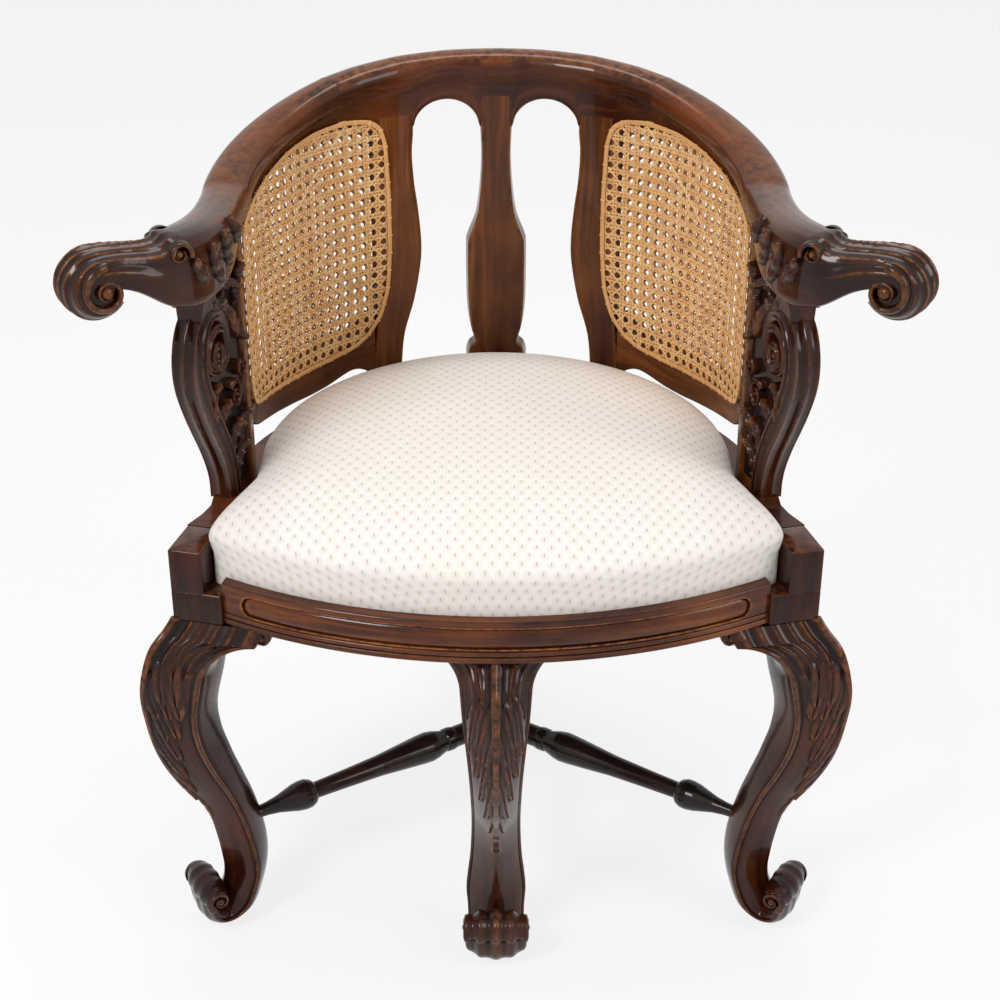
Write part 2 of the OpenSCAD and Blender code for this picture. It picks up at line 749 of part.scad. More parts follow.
// The rail under a caned panel, arched below, between its two stiles
panel_low_shares = [
    [91, 0.205], [93, 0.176], [97, 0.148], [105, 0.128], [115, 0.111], [125, 0.100],
    [132, 0.104], [138, 0.122], [141, 0.130], [144, 0.118], [147, 0.085]
];
module panel_rail(side) {
    steps = [91, 93, 97, 101, 105, 110, 115, 120, 125, 130, 134, 138, 141, 144, 147];
    color(mahogany) mirrored(side) {
        bent_plate(steps, [for (a = steps) back_z(lookup(a, panel_low_shares))],
            [for (a = steps) cane_low(a) + cane_lap], tub_in, tub_out);
        panel_rail_tenon(front_stile_to, panel_front_share);
        panel_rail_tenon(panel_back_az, panel_back_share);
    }
}
module panel_rail_left() panel_rail(-1);
module panel_rail_right() panel_rail(1);

// The panel rail's end tenons, which lie level across the joints
panel_back_az = 147;
panel_front_share = 0.245;
panel_back_share = 0.16;
panel_tenon_h_share = 0.4;
module panel_rail_tenon(az, share, gap = 0) {
    radial(az, tub_r, -tub_forward) translate([0, 0, back_z(share)])
        cube([tenon_t + 2 * gap, tenon_l + 2 * gap, panel_rail_h * panel_tenon_h_share + 2 * gap],
            center = true);
}

// Crest and arms

// The section of the crest and the arms, from half its height and its half widths
// below and in the head: the shares are of that half width and of the height that the
// edge's corner takes below, and then of the head's half width and its depth
head_most_share = 1.5;
below_shares = [[0.75, 0], [1, 0.12]];
head_shares = [[1, 0.62], [0.95, 0.28], [0.7, 0.08], [0.25, 0]];
function rail_section(a, low, head, height) =
    let (h = min(height, head_most_share * a),
        half = concat([for (s = below_shares) [low * s[0], -a + a * s[1]]], [[low, a - h]],
            [for (s = head_shares) [head * s[0], a - h * s[1]]]))
    concat(half, [for (q = reversed(half)) [-q[0], q[1]]]);

// A ring of it at a point, facing an azimuth and pitched up by an angle
function rail_ring(p, facing, pitch, section) = [for (q = section) [
    p[0] + q[0] * cos(facing) - q[1] * sin(pitch) * sin(facing),
    p[1] + q[0] * sin(facing) + q[1] * sin(pitch) * cos(facing),
    p[2] + q[1] * cos(pitch)]];

// The crest's top by azimuth, as shares of the back's height
crest_top_shares = [
    [88, 0.846], [100, 0.872], [112, 0.900], [120, 0.920], [130, 0.946], [138, 0.966],
    [146, 0.980], [157, 0.993], [169, 0.999], [180, 1.000]
];
// Width of its head by azimuth, as a share of its width behind
crest_head_shares = [[88, 1.30], [110, 1.24], [138, 1.10], [155, 1.0]];
function crest_low(az) =
    let (d = 180 - az, e = (d - arch_az) / arch_half_az)
    az < front_stile_to ? back_z(arm_low_share)
    : d <= splat_half_az ? back_z(crest_splat_share)
    : abs(e) < 1 ? back_z(arch_spring_share + arch_rise_share * sqrt(1 - e * e))
    : az > back_stile_out_az ? back_z(crest_stile_share)
    : cane_top(az) - cane_lap;
function tub_ring(az) =
    let (top = back_z(lookup(az, crest_top_shares)), low = crest_low(az))
    rail_ring(at_z(polar(tub_r, az), (top + low) / 2), az - 90, 0,
        rail_section((top - low) / 2, tub_t / 2, head_half * lookup(az, crest_head_shares), head_h));
crest_steps = [
    scarf_az, 141, 144, 147, 149.4, 149.6, 153, 156, 159.6, 159.85, 160.5, 162, 164.5,
    167.8, 171, 173.5, 175, 175.7, 175.9, 178, 180
];
module crest_rail() color(mahogany) difference() {
    crest_wood();
    for (side = [-1, 1]) mirrored(side) {
        tenon(back_stile_top_mid, back_z(crest_stile_share) - over, tenon_l + over, glue_gap);
        arm_dowel(glue_gap);
    }
    tenon(180, back_z(crest_splat_share) - over, tenon_l + over, glue_gap);
}
module crest_wood() {
    skin(concat([for (a = crest_steps) tub_ring(a)],
        [for (i = [len(crest_steps) - 2 : -1 : 0])
            [for (q = tub_ring(crest_steps[i])) [-q[0], q[1], q[2]]]]));
}

// The dowel lies across the scarf between the crest and an arm
dowel_rise_share = 0.91;
module arm_dowel(gap = 0) {
    radial(scarf_az, tub_r, -tub_forward) translate([0, 0, back_z(dowel_rise_share)])
        rotate([90, 0, 0])
        cylinder(r = arm_dowel_r + gap, h = arm_dowel_l + 2 * gap, center = true, $fn = 32);
}
module arm_dowels() color(beech) for (side = [-1, 1]) mirrored(side) arm_dowel();

// The arm leaves the tub at its widest and turns out to the azimuth of the side legs
flare_start = polar(tub_r, 90);
flare_end = polar(arm_reach, block_az);
flare_bend = [tub_r, flare_end[1] + (flare_end[0] - tub_r) / tan(block_az)];
function flare(t) =
    flare_start * (1 - t) * (1 - t) + flare_bend * 2 * t * (1 - t) + flare_end * t * t;
function flare_facing(t) = let (d = mix(flare_bend - flare_start, flare_end - flare_bend, t))
    atan2(d[0], -d[1]);

// Rows along the flare: place, top and underside as shares of the back's height, half
// widths below and in the head as shares of the scroll's half width
flare_rows = [
    [0.14, 0.848, 0.697, 0.48, 0.80], [0.28, 0.852, 0.697, 0.62, 0.82],
    [0.44, 0.860, 0.697, 0.76, 0.85], [0.60, 0.868, 0.697, 0.84, 0.88],
    [0.76, 0.874, 0.699, 0.90, 0.90], [0.90, 0.877, 0.712, 0.94, 0.94]
];
// Rows towards the scroll: place from the flare's end to the scroll's middle, rise of
// the line and its half height as shares of the line's turn
neck_rows = [[0.00, 0.10, 1.62], [0.42, 0.66, 1.16], [0.74, 0.94, 0.98]];
// Turns of the scroll in degrees from its top, and its half height as a share
scroll_turns = [0, 30, 60, 90, 120, 150, 180, 210, 232];
scroll_half_share = 0.93;

function arm_point(r, z) = at_z(polar(r, block_az), z);
function arm_rings() = concat(
    [for (a = [scarf_az, 132, 126, 120, 114, 108, 102, 97, 92, 88.5]) tub_ring(a)],
    [for (s = flare_rows)
        let (top = back_z(s[1]), low = back_z(s[2]))
        rail_ring(at_z(flare(s[0]), (top + low) / 2), flare_facing(s[0]), 0,
            rail_section((top - low) / 2, s[3] * volute_half, s[4] * volute_half, head_h))],
    [for (s = neck_rows)
        rail_ring(arm_point(mix(arm_reach, volute_reach, s[0]), volute_z + s[1] * volute_turn),
            block_az, 0, rail_section(s[2] * volute_turn, volute_half, volute_half, head_h))],
    [for (t = scroll_turns)
        rail_ring(arm_point(volute_reach + volute_turn * sin(t), volute_z + volute_turn * cos(t)),
            block_az, -t,
            rail_section(scroll_half_share * volute_turn, volute_half, volute_half, head_h))]);
volute_z = rail_top + volute_rise;

module arm(side) {
    color(mahogany) mirrored(side) difference() {
        skin([for (ring = arm_rings()) reversed(ring)]);
        arm_dowel(glue_gap);
    }
}
module arm_left() arm(-1);
module arm_right() arm(1);

// Arm supports

// The support's upright plane runs forward and out from the front stile
support_az = 16;
support_across_share = 0.46;
support_back_share = 0.4;
module support_frame() {
    translate([tub_in + tub_t * (1 - support_across_share) / 2, scoop_y + post_w * support_back_share, 0])
        rotate([0, 0, support_az - 90]) children();
}
// Outer edge of the post from its top to its foot: reach and height as shares
post_edge_shares = [
    [0.775, 1.000], [0.790, 0.955], [0.815, 0.920], [0.880, 0.885], [0.940, 0.802],
    [1.000, 0.692], [0.923, 0.580], [0.859, 0.477], [0.736, 0.350], [0.599, 0.219],
    [0.549, 0.160], [0.514, 0.080], [0.514, 0.000]
];
// Inner edge of the post, from its foot to its top
post_back_shares = [
    [0.310, 0.000], [0.330, 0.110], [0.420, 0.240], [0.560, 0.380], [0.680, 0.500],
    [0.760, 0.620], [0.770, 0.720], [0.730, 0.800], [0.660, 0.880], [0.600, 0.940], [0.600, 1.000]
];
// Rear edge of the pierced panel, from its foot up the stile
panel_back_shares = [
    [0.310, 0.000], [0.240, 0.060], [0.150, 0.120], [0.092, 0.200], [0.092, 0.940], [0.200, 1.000]
];
// Piercings of the panel: reach, height and radius as shares
piercing_shares = [
    [0.43, 0.435, 0.070], [0.30, 0.560, 0.050], [0.50, 0.690, 0.085], [0.24, 0.720, 0.055],
    [0.27, 0.860, 0.052], [0.20, 0.330, 0.045], [0.36, 0.610, 0.040]
];
support_h = front_stile_top - support_gap - block_top;
function support_points(shares) =
    [for (s = smooth(shares, 3)) [s[0] * support_reach, s[1] * support_h]];
module arm_support(side) {
    post = concat(support_points(post_edge_shares), support_points(post_back_shares));
    panel = concat(support_points(post_back_shares),
        [for (s = reversed(panel_back_shares)) [s[0] * support_reach, s[1] * support_h]]);
    color(dark_mahogany) mirrored(side) difference() {
        support_frame() {
            translate([0, 0, block_top]) rotate([90, 0, 0]) {
                linear_extrude(post_t, center = true) polygon(post);
                linear_extrude(pierced_t, center = true) difference() {
                    polygon(panel);
                    for (s = piercing_shares) translate([s[0] * support_reach, s[1] * support_h])
                        circle(s[2] * support_reach, $fn = 32);
                }
            }
            support_tenon();
        }
        bent_post([
            [rail_top - over, front_stile_from - glue_turn, front_stile_to],
            [front_stile_top + over, front_stile_from - glue_turn, front_stile_to]],
            tub_in - over, tub_out + over);
    }
}
glue_turn = atan(glue_gap / tub_in);
module support_tenon(gap = 0) {
    inner = post_back_shares[0][0] * support_reach;
    outer = post_edge_shares[len(post_edge_shares) - 1][0] * support_reach;
    translate([(inner + outer - tenon_w) / 2 - gap, -tenon_t / 2 - gap, block_top - tenon_l - gap])
        cube([tenon_w + 2 * gap, tenon_t + 2 * gap, tenon_l + over + gap]);
}
module arm_support_left() arm_support(-1);
module arm_support_right() arm_support(1);

// Cane

// Layers of cane, one on each face of the frame, and a binding cane round the inner one
cane_steps = [
    89, 89.5, 90.5, 92, 94, 97, 100, 105, 110, 115, 120, 125, 130, 135, 140, 143, 146,
    148.5, 150.5, 151.5, 152.1, 152.4
];
module cane(side, r) {
    color(honey) mirrored(side) bent_plate(cane_steps, [for (a = cane_steps) cane_low(a)],
        [for (a = cane_steps) cane_top(a)], r, r + cane_t);
}
front_cane_r = tub_in - lie_gap - cane_t;
back_cane_r = tub_out + lie_gap;
module cane_front_left() cane(-1, front_cane_r);
module cane_front_right() cane(1, front_cane_r);
module cane_back_left() cane(-1, back_cane_r);
module cane_back_right() cane(1, back_cane_r);

module binding(side) {
    inner = front_cane_r - binding_t - lie_gap / 3;
    across = binding_w / 2;
    last = len(cane_steps) - 1;
    outline = concat([for (a = cane_steps) [a, cane_low(a)]],
        [for (a = reversed(cane_steps)) [a, cane_top(a)]]);
    middle = [(cane_steps[0] + cane_steps[last]) / 2, (cane_low(120) + cane_top(120)) / 2];
    color(honey) mirrored(side) loop_skin([for (q = outline)
        let (out = middle - q, arc = tub_r * PI / 180, reach = norm([out[0] * arc, out[1]]),
            in_az = q[0] + out[0] * binding_w / reach, in_z = q[1] + out[1] * binding_w / reach)
        [at_z(polar(inner + binding_t, q[0]), q[1]), at_z(polar(inner + binding_t, in_az), in_z),
         at_z(polar(inner, in_az), in_z), at_z(polar(inner, q[0]), q[1])]]);
}
module binding_left() binding(-1);
module binding_right() binding(1);

// Seat

seat_bottom = ledge_z;
strap_z = seat_bottom + seat_member_t;
module seat_plan(grow = 0) opening_plan(grow - seat_gap - cover_t);
module seat_ring() {
    translate([0, 0, seat_bottom]) linear_extrude(seat_member_t) difference() {
        seat_plan();
        seat_plan(-seat_member_w);
    }
}
// The frame's four members meet on lines that run from its inner corners
module seat_sector(turn) {
    reach = 2 * far;
    translate([0, -tub_forward, seat_bottom - over]) linear_extrude(seat_member_t + 2 * over)
        rotate(turn) polygon([[0, 0], [reach, -reach], [reach, reach]]);
}
module seat_member(turn) color(beech) intersection() {
    seat_ring();
    seat_sector(turn);
}
module seat_member_front() seat_member(-90);
module seat_member_back() seat_member(90);
module seat_member_left() seat_member(180);
module seat_member_right() seat_member(0);

// Straps are woven across the frame: the fore-and-aft ones lie on the cross ones
strap_pitch_share = 1.5;
module webbing() color("tan") {
    pitch = strap_pitch_share * strap_w;
    translate([0, 0, strap_z]) linear_extrude(strap_t) for (i = [-1.5 : 1 : 1.5]) intersection() {
        seat_plan(-seat_gap);
        translate([i * pitch - strap_w / 2, -far]) square([strap_w, 2 * far]);
    }
    translate([0, 0, strap_z + strap_t + lie_gap]) linear_extrude(strap_t)
        for (i = [-1 : 1]) intersection() {
            seat_plan(-seat_gap);
            translate([-far, -tub_forward + i * pitch - strap_w / 2]) square([2 * far, strap_w]);
        }
}

// The cushion, with its cover drawn down round the frame to the ledge
cushion_z = strap_z + 2 * strap_t + 2 * lie_gap;
rim_z = block_top + cushion_edge_h;
// Rows up the cushion's side: share of its bulge, and height above the corner blocks as
// a share of the rim's
cushion_side_shares = [[0, 0], [0.55, 0.30], [1, 0.70], [0.95, 1]];
// Rows up its crown: how far the outline is drawn in to the middle, and height
cushion_dome_shares = [
    [0.03, 0.06], [0.07, 0.15], [0.12, 0.25], [0.20, 0.38], [0.30, 0.52], [0.40, 0.64],
    [0.55, 0.79], [0.70, 0.90], [0.85, 0.97], [0.985, 1]
];
module cushion() color(cream) difference() {
    skin(concat(
        [cushion_ring(0, 0, ledge_z + lie_gap)],
        [for (s = cushion_side_shares)
            cushion_ring(s[0] * cushion_puff, 0, block_top + s[1] * cushion_edge_h)],
        [for (s = cushion_dome_shares)
            cushion_ring(cushion_puff, s[0], rim_z + s[1] * cushion_crown_h)]));
    translate([0, 0, seat_bottom - over]) linear_extrude(cushion_z - seat_bottom + over)
        seat_plan(lie_gap);
}
function cushion_ring(puff, drawn, z) = let (o = polar(0, 0))
    [for (q = reversed(seat_outline(puff))) at_z(mix(q, o, drawn), z)];

// The seat's outline, from the middle of the front round the right side, with its
// front and its corners moved out by a bulge
outline_steps = [8, 2, 3, 2, 12];
function seat_outline(puff) =
    let (inner = step_w - block_w / 2 - seat_gap + puff,
        bow = bow_r - front_lip - seat_gap + puff,
        back_corner = block_point(inner, block_w / 2),
        front_corner = circle_hit(back_corner, block_point(inner, 0) - back_corner, [0, bow_y], bow),
        turn = asin(front_corner[0] / bow),
        right = concat(
            [for (i = [0 : outline_steps[0] - 1]) let (a = turn * i / outline_steps[0])
                [bow * sin(a), bow_y - bow * cos(a)]],
            line_points(front_corner, back_corner, outline_steps[1]),
            line_points(back_corner, [seat_r, flare_y], outline_steps[2]),
            line_points([seat_r, flare_y], [seat_r, -tub_forward], outline_steps[3]),
            [for (i = [0 : outline_steps[4]]) polar(seat_r, 90 + 90 * i / outline_steps[4])]))
    concat(right, [for (i = [len(right) - 2 : -1 : 1]) [-right[i][0], right[i][1]]]);
function line_points(p, q, steps) = [for (i = [0 : steps - 1]) mix(p, q, i / steps)];

// Where the line from a point in a direction leaves a circle
function circle_hit(p, d, o, r) = let (w = p - o, b = d * w)
    p + d * ((sqrt(b * b - d * d * (w * w - r * r)) - b) / (d * d));

module dust_cloth() color("dimgray") translate([0, 0, seat_bottom - dust_cloth_t])
    linear_extrude(dust_cloth_t - glue_gap) through_plan(-2 * seat_gap);

leg_front();
leg_back();
leg_left();
leg_right();
glides();
leg_dowels();
front_rail();
side_rail_left();
side_rail_right();
glue_blocks();
rail_screws();
stretcher_front();
stretcher_back();
stretcher_left();
stretcher_right();
stretcher_boss();
stile_front_left();
stile_front_right();
stile_back_left();
stile_back_right();
splat();
panel_rail_left();
panel_rail_right();
crest_rail();
arm_left();
arm_right();
arm_dowels();
arm_support_left();
arm_support_right();
cane_front_left();
cane_front_right();
cane_back_left();
cane_back_right();
binding_left();
binding_right();
seat_member_front();
seat_member_back();
seat_member_left();
seat_member_right();
webbing();
cushion();
dust_cloth();
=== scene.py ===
"""Looks of the cane back desk chair: carved mahogany, woven cane and an upholstered seat.

The wood's pieces are grids of points swept along the same lines as the solids, with the
carving as heights above them. Lengths are in metres, azimuths in degrees from the front.
"""
import math

import bpy
import numpy as np
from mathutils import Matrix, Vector


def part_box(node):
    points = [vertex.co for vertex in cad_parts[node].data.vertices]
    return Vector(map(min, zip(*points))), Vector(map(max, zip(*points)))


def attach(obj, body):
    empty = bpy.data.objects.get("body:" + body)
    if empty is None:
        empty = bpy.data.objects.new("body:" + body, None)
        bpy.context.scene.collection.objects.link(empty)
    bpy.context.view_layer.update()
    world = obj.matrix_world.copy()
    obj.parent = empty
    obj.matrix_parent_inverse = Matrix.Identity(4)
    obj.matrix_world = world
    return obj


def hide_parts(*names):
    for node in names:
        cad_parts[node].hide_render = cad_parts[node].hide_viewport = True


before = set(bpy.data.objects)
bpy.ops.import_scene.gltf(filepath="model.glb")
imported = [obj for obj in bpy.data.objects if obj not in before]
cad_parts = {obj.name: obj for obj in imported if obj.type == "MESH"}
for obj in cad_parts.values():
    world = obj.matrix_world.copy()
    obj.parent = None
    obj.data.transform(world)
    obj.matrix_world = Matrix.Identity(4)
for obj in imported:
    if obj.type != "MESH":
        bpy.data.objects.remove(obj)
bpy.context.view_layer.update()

# Sizes of the solids that the pieces here follow
LEG_H, RAIL_H, BACK_H = 0.374, 0.044, 0.386
BLOCK_W, BLOCK_H, BLOCK_R, BLOCK_AZ = 0.050, 0.076, 0.3216, 59.2
TUB_R, TUB_T, TUB_FORWARD = 0.256, 0.024, 0.018
LEG_REACH, KNEE_SWING, FOOT_SWING = 0.236, 0.034, 0.034
KNEE_HALF, ANKLE_HALF, TOE_HALF, TOE_TURN = 0.042, 0.025, 0.031, 0.009
HEAD_HALF, HEAD_H = 0.0185, 0.034
ARM_REACH, VOLUTE_REACH, VOLUTE_TURN, VOLUTE_HALF = 0.345, 0.402, 0.016, 0.030
SUPPORT_H, SUPPORT_REACH, POST_W = 0.237, 0.138, 0.030
FRONT_REACH, BOW_R, FRONT_RAIL_T, REBATE_H = 0.280, 0.500, 0.045, 0.012
CANE_LAP, CANE_T, BINDING_W, LIE_GAP = 0.012, 0.0012, 0.005, 0.0003
FLARE_SHARE, RAIL_OUT, LEDGE_W = 0.22, 0.277, 0.0125
SEAT_GAP, STEP_W, FRONT_LIP = 0.0015, 0.017, 0.012
RAIL_TOP = LEG_H + RAIL_H
BLOCK_TOP = LEG_H + BLOCK_H
LEDGE_Z = RAIL_TOP - REBATE_H
VOLUTE_Z = RAIL_TOP + 0.306
BOW_Y = BOW_R - FRONT_REACH
TUB_IN, TUB_OUT = TUB_R - TUB_T / 2, TUB_R + TUB_T / 2
SIDE_X = BLOCK_R * math.sin(math.radians(BLOCK_AZ))
SIDE_Y = -TUB_FORWARD - BLOCK_R * math.cos(math.radians(BLOCK_AZ))
SCARF_AZ, FRONT_STILE_AZ, BACK_STILE_AZ = 138.0, (84.5, 91.0), 149.5
UP = np.array([0.0, 0.0, 1.0])


# Points and curves

def lookup(value, rows):
    """The table's second column at a value of its first, or its further columns together."""
    rows = np.asarray(rows, float)
    columns = [np.interp(value, rows[:, 0], rows[:, i]) for i in range(1, rows.shape[1])]
    return columns[0] if len(columns) == 1 else np.stack(columns, axis=-1)


def curve(rows, steps):
    """A smooth curve through rows of numbers, with a number of steps to each span."""
    p = np.asarray(rows, float)
    p = np.concatenate([p[:1], p, p[-1:]])
    t = (np.arange(steps) / steps)[:, None]
    spans = [
        0.5 * (2 * b + (c - a) * t + (2 * a - 5 * b + 4 * c - d) * t**2
               + (3 * b - a - 3 * c + d) * t**3)
        for a, b, c, d in zip(p[:-3], p[1:-2], p[2:-1], p[3:])]
    return np.concatenate(spans + [p[-1:]])


def polar(radius, azimuth, z=0.0):
    """Points at a radius, azimuth and height about the tub's axis."""
    a = np.radians(azimuth)
    x = radius * np.sin(a)
    y = -TUB_FORWARD - radius * np.cos(a)
    return np.stack(np.broadcast_arrays(x, y, z), axis=-1)


def rotated(points, degrees):
    """Points turned about the Z axis."""
    a = math.radians(degrees)
    x, y = points[..., 0], points[..., 1]
    return np.stack([x * math.cos(a) - y * math.sin(a), x * math.sin(a) + y * math.cos(a),
                     points[..., 2]], axis=-1)


def turned(points, azimuth, radius, y):
    """Points whose X runs outward, placed at a radius and azimuth about (0, y)."""
    return rotated(points + [radius, 0, 0], azimuth - 90) + [0, y, 0]


def upright_plane(origin, azimuth, reach, z, across):
    """Points of an upright plane that runs outward at an azimuth from an origin."""
    flat = np.stack(np.broadcast_arrays(reach, across, z), axis=-1)
    return rotated(flat, azimuth - 90) + origin


def mirrored(points, side):
    """Points as they are for side 1, and on the left instead of the right for side -1."""
    return points * np.array([side, 1.0, 1.0])


def level(ring, z):
    """A ring of plan points at a height."""
    return np.insert(ring, 2, z, axis=1)


def unit(vectors):
    return vectors / np.maximum(np.linalg.norm(vectors, axis=-1, keepdims=True), 1e-12)


def back_z(share):
    """Heights at shares of the back's height above the rail."""
    return RAIL_TOP + BACK_H * np.asarray(share)


def softened(values, passes, closed=True):
    """Values of a grid averaged with their neighbours a number of times."""
    out = np.asarray(values, float)
    for _ in range(passes):
        padded = np.concatenate([out[:1], out, out[-1:]])
        out = (padded[:-2] + 2 * out + padded[2:]) / 4
        if closed:
            out = (np.roll(out, 1, 1) + 2 * out + np.roll(out, -1, 1)) / 4
    return out


def rounded_ring(points, count, radius):
    """A closed outline resampled evenly, with its corners rounded off by about a radius."""
    p = np.asarray(points, float)
    step = np.linalg.norm(np.roll(p, -1, 0) - p, axis=1)
    along = np.concatenate([[0], np.cumsum(step)])
    at = np.arange(count) / count * along[-1]
    closed = np.concatenate([p, p[:1]])
    ring = np.stack([np.interp(at, along, closed[:, i]) for i in range(p.shape[1])], axis=1)
    passes = int(max(1, round(1.2 * (radius * count / along[-1]) ** 2)))
    for _ in range(min(passes, 60)):
        ring = (np.roll(ring, 1, 0) + 2 * ring + np.roll(ring, -1, 0)) / 4
    return ring


def grid_normals(points):
    """Normals of a grid of points whose second index runs round each closed ring."""
    across = np.roll(points, -1, 1) - np.roll(points, 1, 1)
    return unit(np.cross(np.gradient(points, axis=0), across))


def raised(points, heights, outward):
    """A grid moved by heights along its normals, turned so that they point outward."""
    normals = grid_normals(points)
    if np.sum(normals * outward) < 0:
        normals = -normals
    return points + normals * heights[..., None]


def relief_of(heights, scale):
    """From 0 in a hollow to 1 on an edge, from heights and what surrounds them."""
    # The wood paints shade where this is low and wear with a painted highlight where it is high.
    return np.clip(0.5 + (heights - softened(heights, 14)) / scale, 0, 1)


# Pieces

class Piece:
    """Gathers grids of points into one mesh, with each point's place in the wood."""

    def __init__(self, name):
        self.name = name
        self.values, self.quads, self.triangles = [], [], []
        self.count = 0

    def grid(self, points, relief=0.5, closed=True, caps=True, loop=False, tint=0.5, flip=False,
             grain=None):
        """Adds a grid: closed joins each ring's ends, loop the first ring to the last."""
        m, n = points.shape[:2]
        row, column = np.meshgrid(np.arange(m if loop else m - 1),
                                  np.arange(n if closed else n - 1), indexing="ij")
        above, beside = (row + 1) % m, (column + 1) % n
        quads = np.stack([row * n + column, row * n + beside, above * n + beside,
                          above * n + column], axis=-1).reshape(-1, 4)
        grain = grain_places(points) if grain is None else grain
        relief, tint = (np.broadcast_to(v, (m, n))[..., None] for v in (relief, tint))
        values = np.concatenate([points, grain, relief, tint], axis=-1).reshape(m * n, 8)
        triangles = np.zeros((0, 3), int)
        if caps and closed and not loop:
            here, last = np.arange(n), (m - 1) * n
            beside, middle = (here + 1) % n, np.full(n, m * n)
            triangles = np.concatenate([
                np.stack([beside, here, middle], axis=-1),
                np.stack([last + here, last + beside, middle + 1], axis=-1)])
            values = np.concatenate([values, values[:n].mean(0)[None], values[-n:].mean(0)[None]])
        if closed:
            a, b, c, d = (values[quads[:, q], :3] for q in range(4))
            volume = np.sum(a * np.cross(b, c)) + np.sum(a * np.cross(c, d))
            a, b, c = (values[triangles[:, q], :3] for q in range(3))
            flip = volume + np.sum(a * np.cross(b, c)) < 0
        if flip:
            quads, triangles = quads[:, ::-1], triangles[:, ::-1]
        self.values.append(values)
        self.quads.append(quads + self.count)
        self.triangles.append(triangles + self.count)
        self.count += len(values)

    def build(self, material, body, slot, replaces, sharp=38):
        """Makes the object, which rides on a body and stands for the named CAD nodes."""
        mesh = bpy.data.meshes.new(self.name)
        values = np.concatenate(self.values).astype(np.float32)
        quads, triangles = np.concatenate(self.quads), np.concatenate(self.triangles)
        corners = np.concatenate([quads.ravel(), triangles.ravel()]).astype(np.int32)
        totals = np.repeat([4, 3], [len(quads), len(triangles)])
        mesh.vertices.add(len(values))
        mesh.vertices.foreach_set("co", values[:, :3].ravel())
        mesh.loops.add(len(corners))
        mesh.loops.foreach_set("vertex_index", corners)
        mesh.polygons.add(len(totals))
        mesh.polygons.foreach_set("loop_start", (np.cumsum(totals) - totals).astype(np.int32))
        mesh.update(calc_edges=True)
        mesh.polygons.foreach_set("use_smooth", np.ones(len(totals), bool))
        mesh.set_sharp_from_angle(angle=math.radians(sharp))
        grain = mesh.attributes.new("grain", "FLOAT_VECTOR", "POINT")
        grain.data.foreach_set("vector", values[:, 3:6].ravel())
        for column, name in ((6, "relief"), (7, "tint")):
            layer = mesh.attributes.new(name, "FLOAT", "POINT")
            layer.data.foreach_set("value", values[:, column].copy())
        mesh.materials.append(material)
        piece = bpy.data.objects.new(self.name, mesh)
        bpy.context.scene.collection.objects.link(piece)
        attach(piece, body)
        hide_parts(*replaces)
        return piece


def grain_places(points):
    """Places in a straight board that was bent along the grid's rings."""
    centres = points.mean(axis=1)
    step = np.linalg.norm(np.diff(centres, axis=0), axis=1)
    along = np.concatenate([[0], np.cumsum(step)])
    tangent = unit(np.gradient(centres, axis=0))
    first = points[:, 0] - centres
    across = unit(first - tangent * np.sum(first * tangent, axis=-1, keepdims=True))
    up = np.cross(across, tangent)
    offset = points - centres[:, None]
    x = along[:, None] + np.sum(offset * tangent[:, None], axis=-1)
    y = np.sum(offset * across[:, None], axis=-1)
    z = np.sum(offset * up[:, None], axis=-1)
    return np.stack([x, y, z], axis=-1)


def rounded_bar(width, thickness, radius):
    """Points round a bar's section, with rounded corners."""
    w, t = width / 2 - radius, thickness / 2 - radius
    corners = np.array([(w, t), (-w, t), (-w, -t), (w, -t)])
    ring = []
    for index, centre in enumerate(corners):
        turns = np.radians(np.linspace(index * 90, index * 90 + 90, 5))
        arc = centre + radius * np.stack([np.cos(turns), np.sin(turns)], axis=-1)
        side = corners[(index + 1) % 4] - centre
        ring += [arc, arc[-1] + side * (np.arange(1, 8) / 8)[:, None]]
    return np.concatenate(ring)


# Carving on a surface: each form is a strip of points with the surface's normals

def strip(points, normals, half, rise):
    """A grid across a path on a surface, as wide as twice half and raised by rise."""
    normals = unit(np.broadcast_to(normals, points.shape).astype(float))
    side = unit(np.cross(normals, unit(np.gradient(points, axis=0))))
    q = np.linspace(-1, 1, rise.shape[1])
    return (points[:, None] + side[:, None] * (half * q)[..., None]
            + normals[:, None] * rise[..., None])


def ribbon(points, normals, half_widths, heights, groove=0.0, base=0.0015, count=13):
    """A raised band along points, arched across, with its edges sunk in the surface."""
    half, height = (np.broadcast_to(v, len(points))[:, None] for v in (half_widths, heights))
    q = np.linspace(-1, 1, count)
    arch = (1 - np.abs(q) ** 2.6) ** (1 / 2.6)
    profile = arch - groove * np.exp(-(q / 0.22) ** 2)
    rise = height * profile - base * (1 - arch)
    # The relief paints shade along the band's sunk edges and wear with a painted highlight on its
    # crown.
    return strip(points, normals, half, rise), 0.12 + 0.62 * np.broadcast_to(profile, rise.shape)


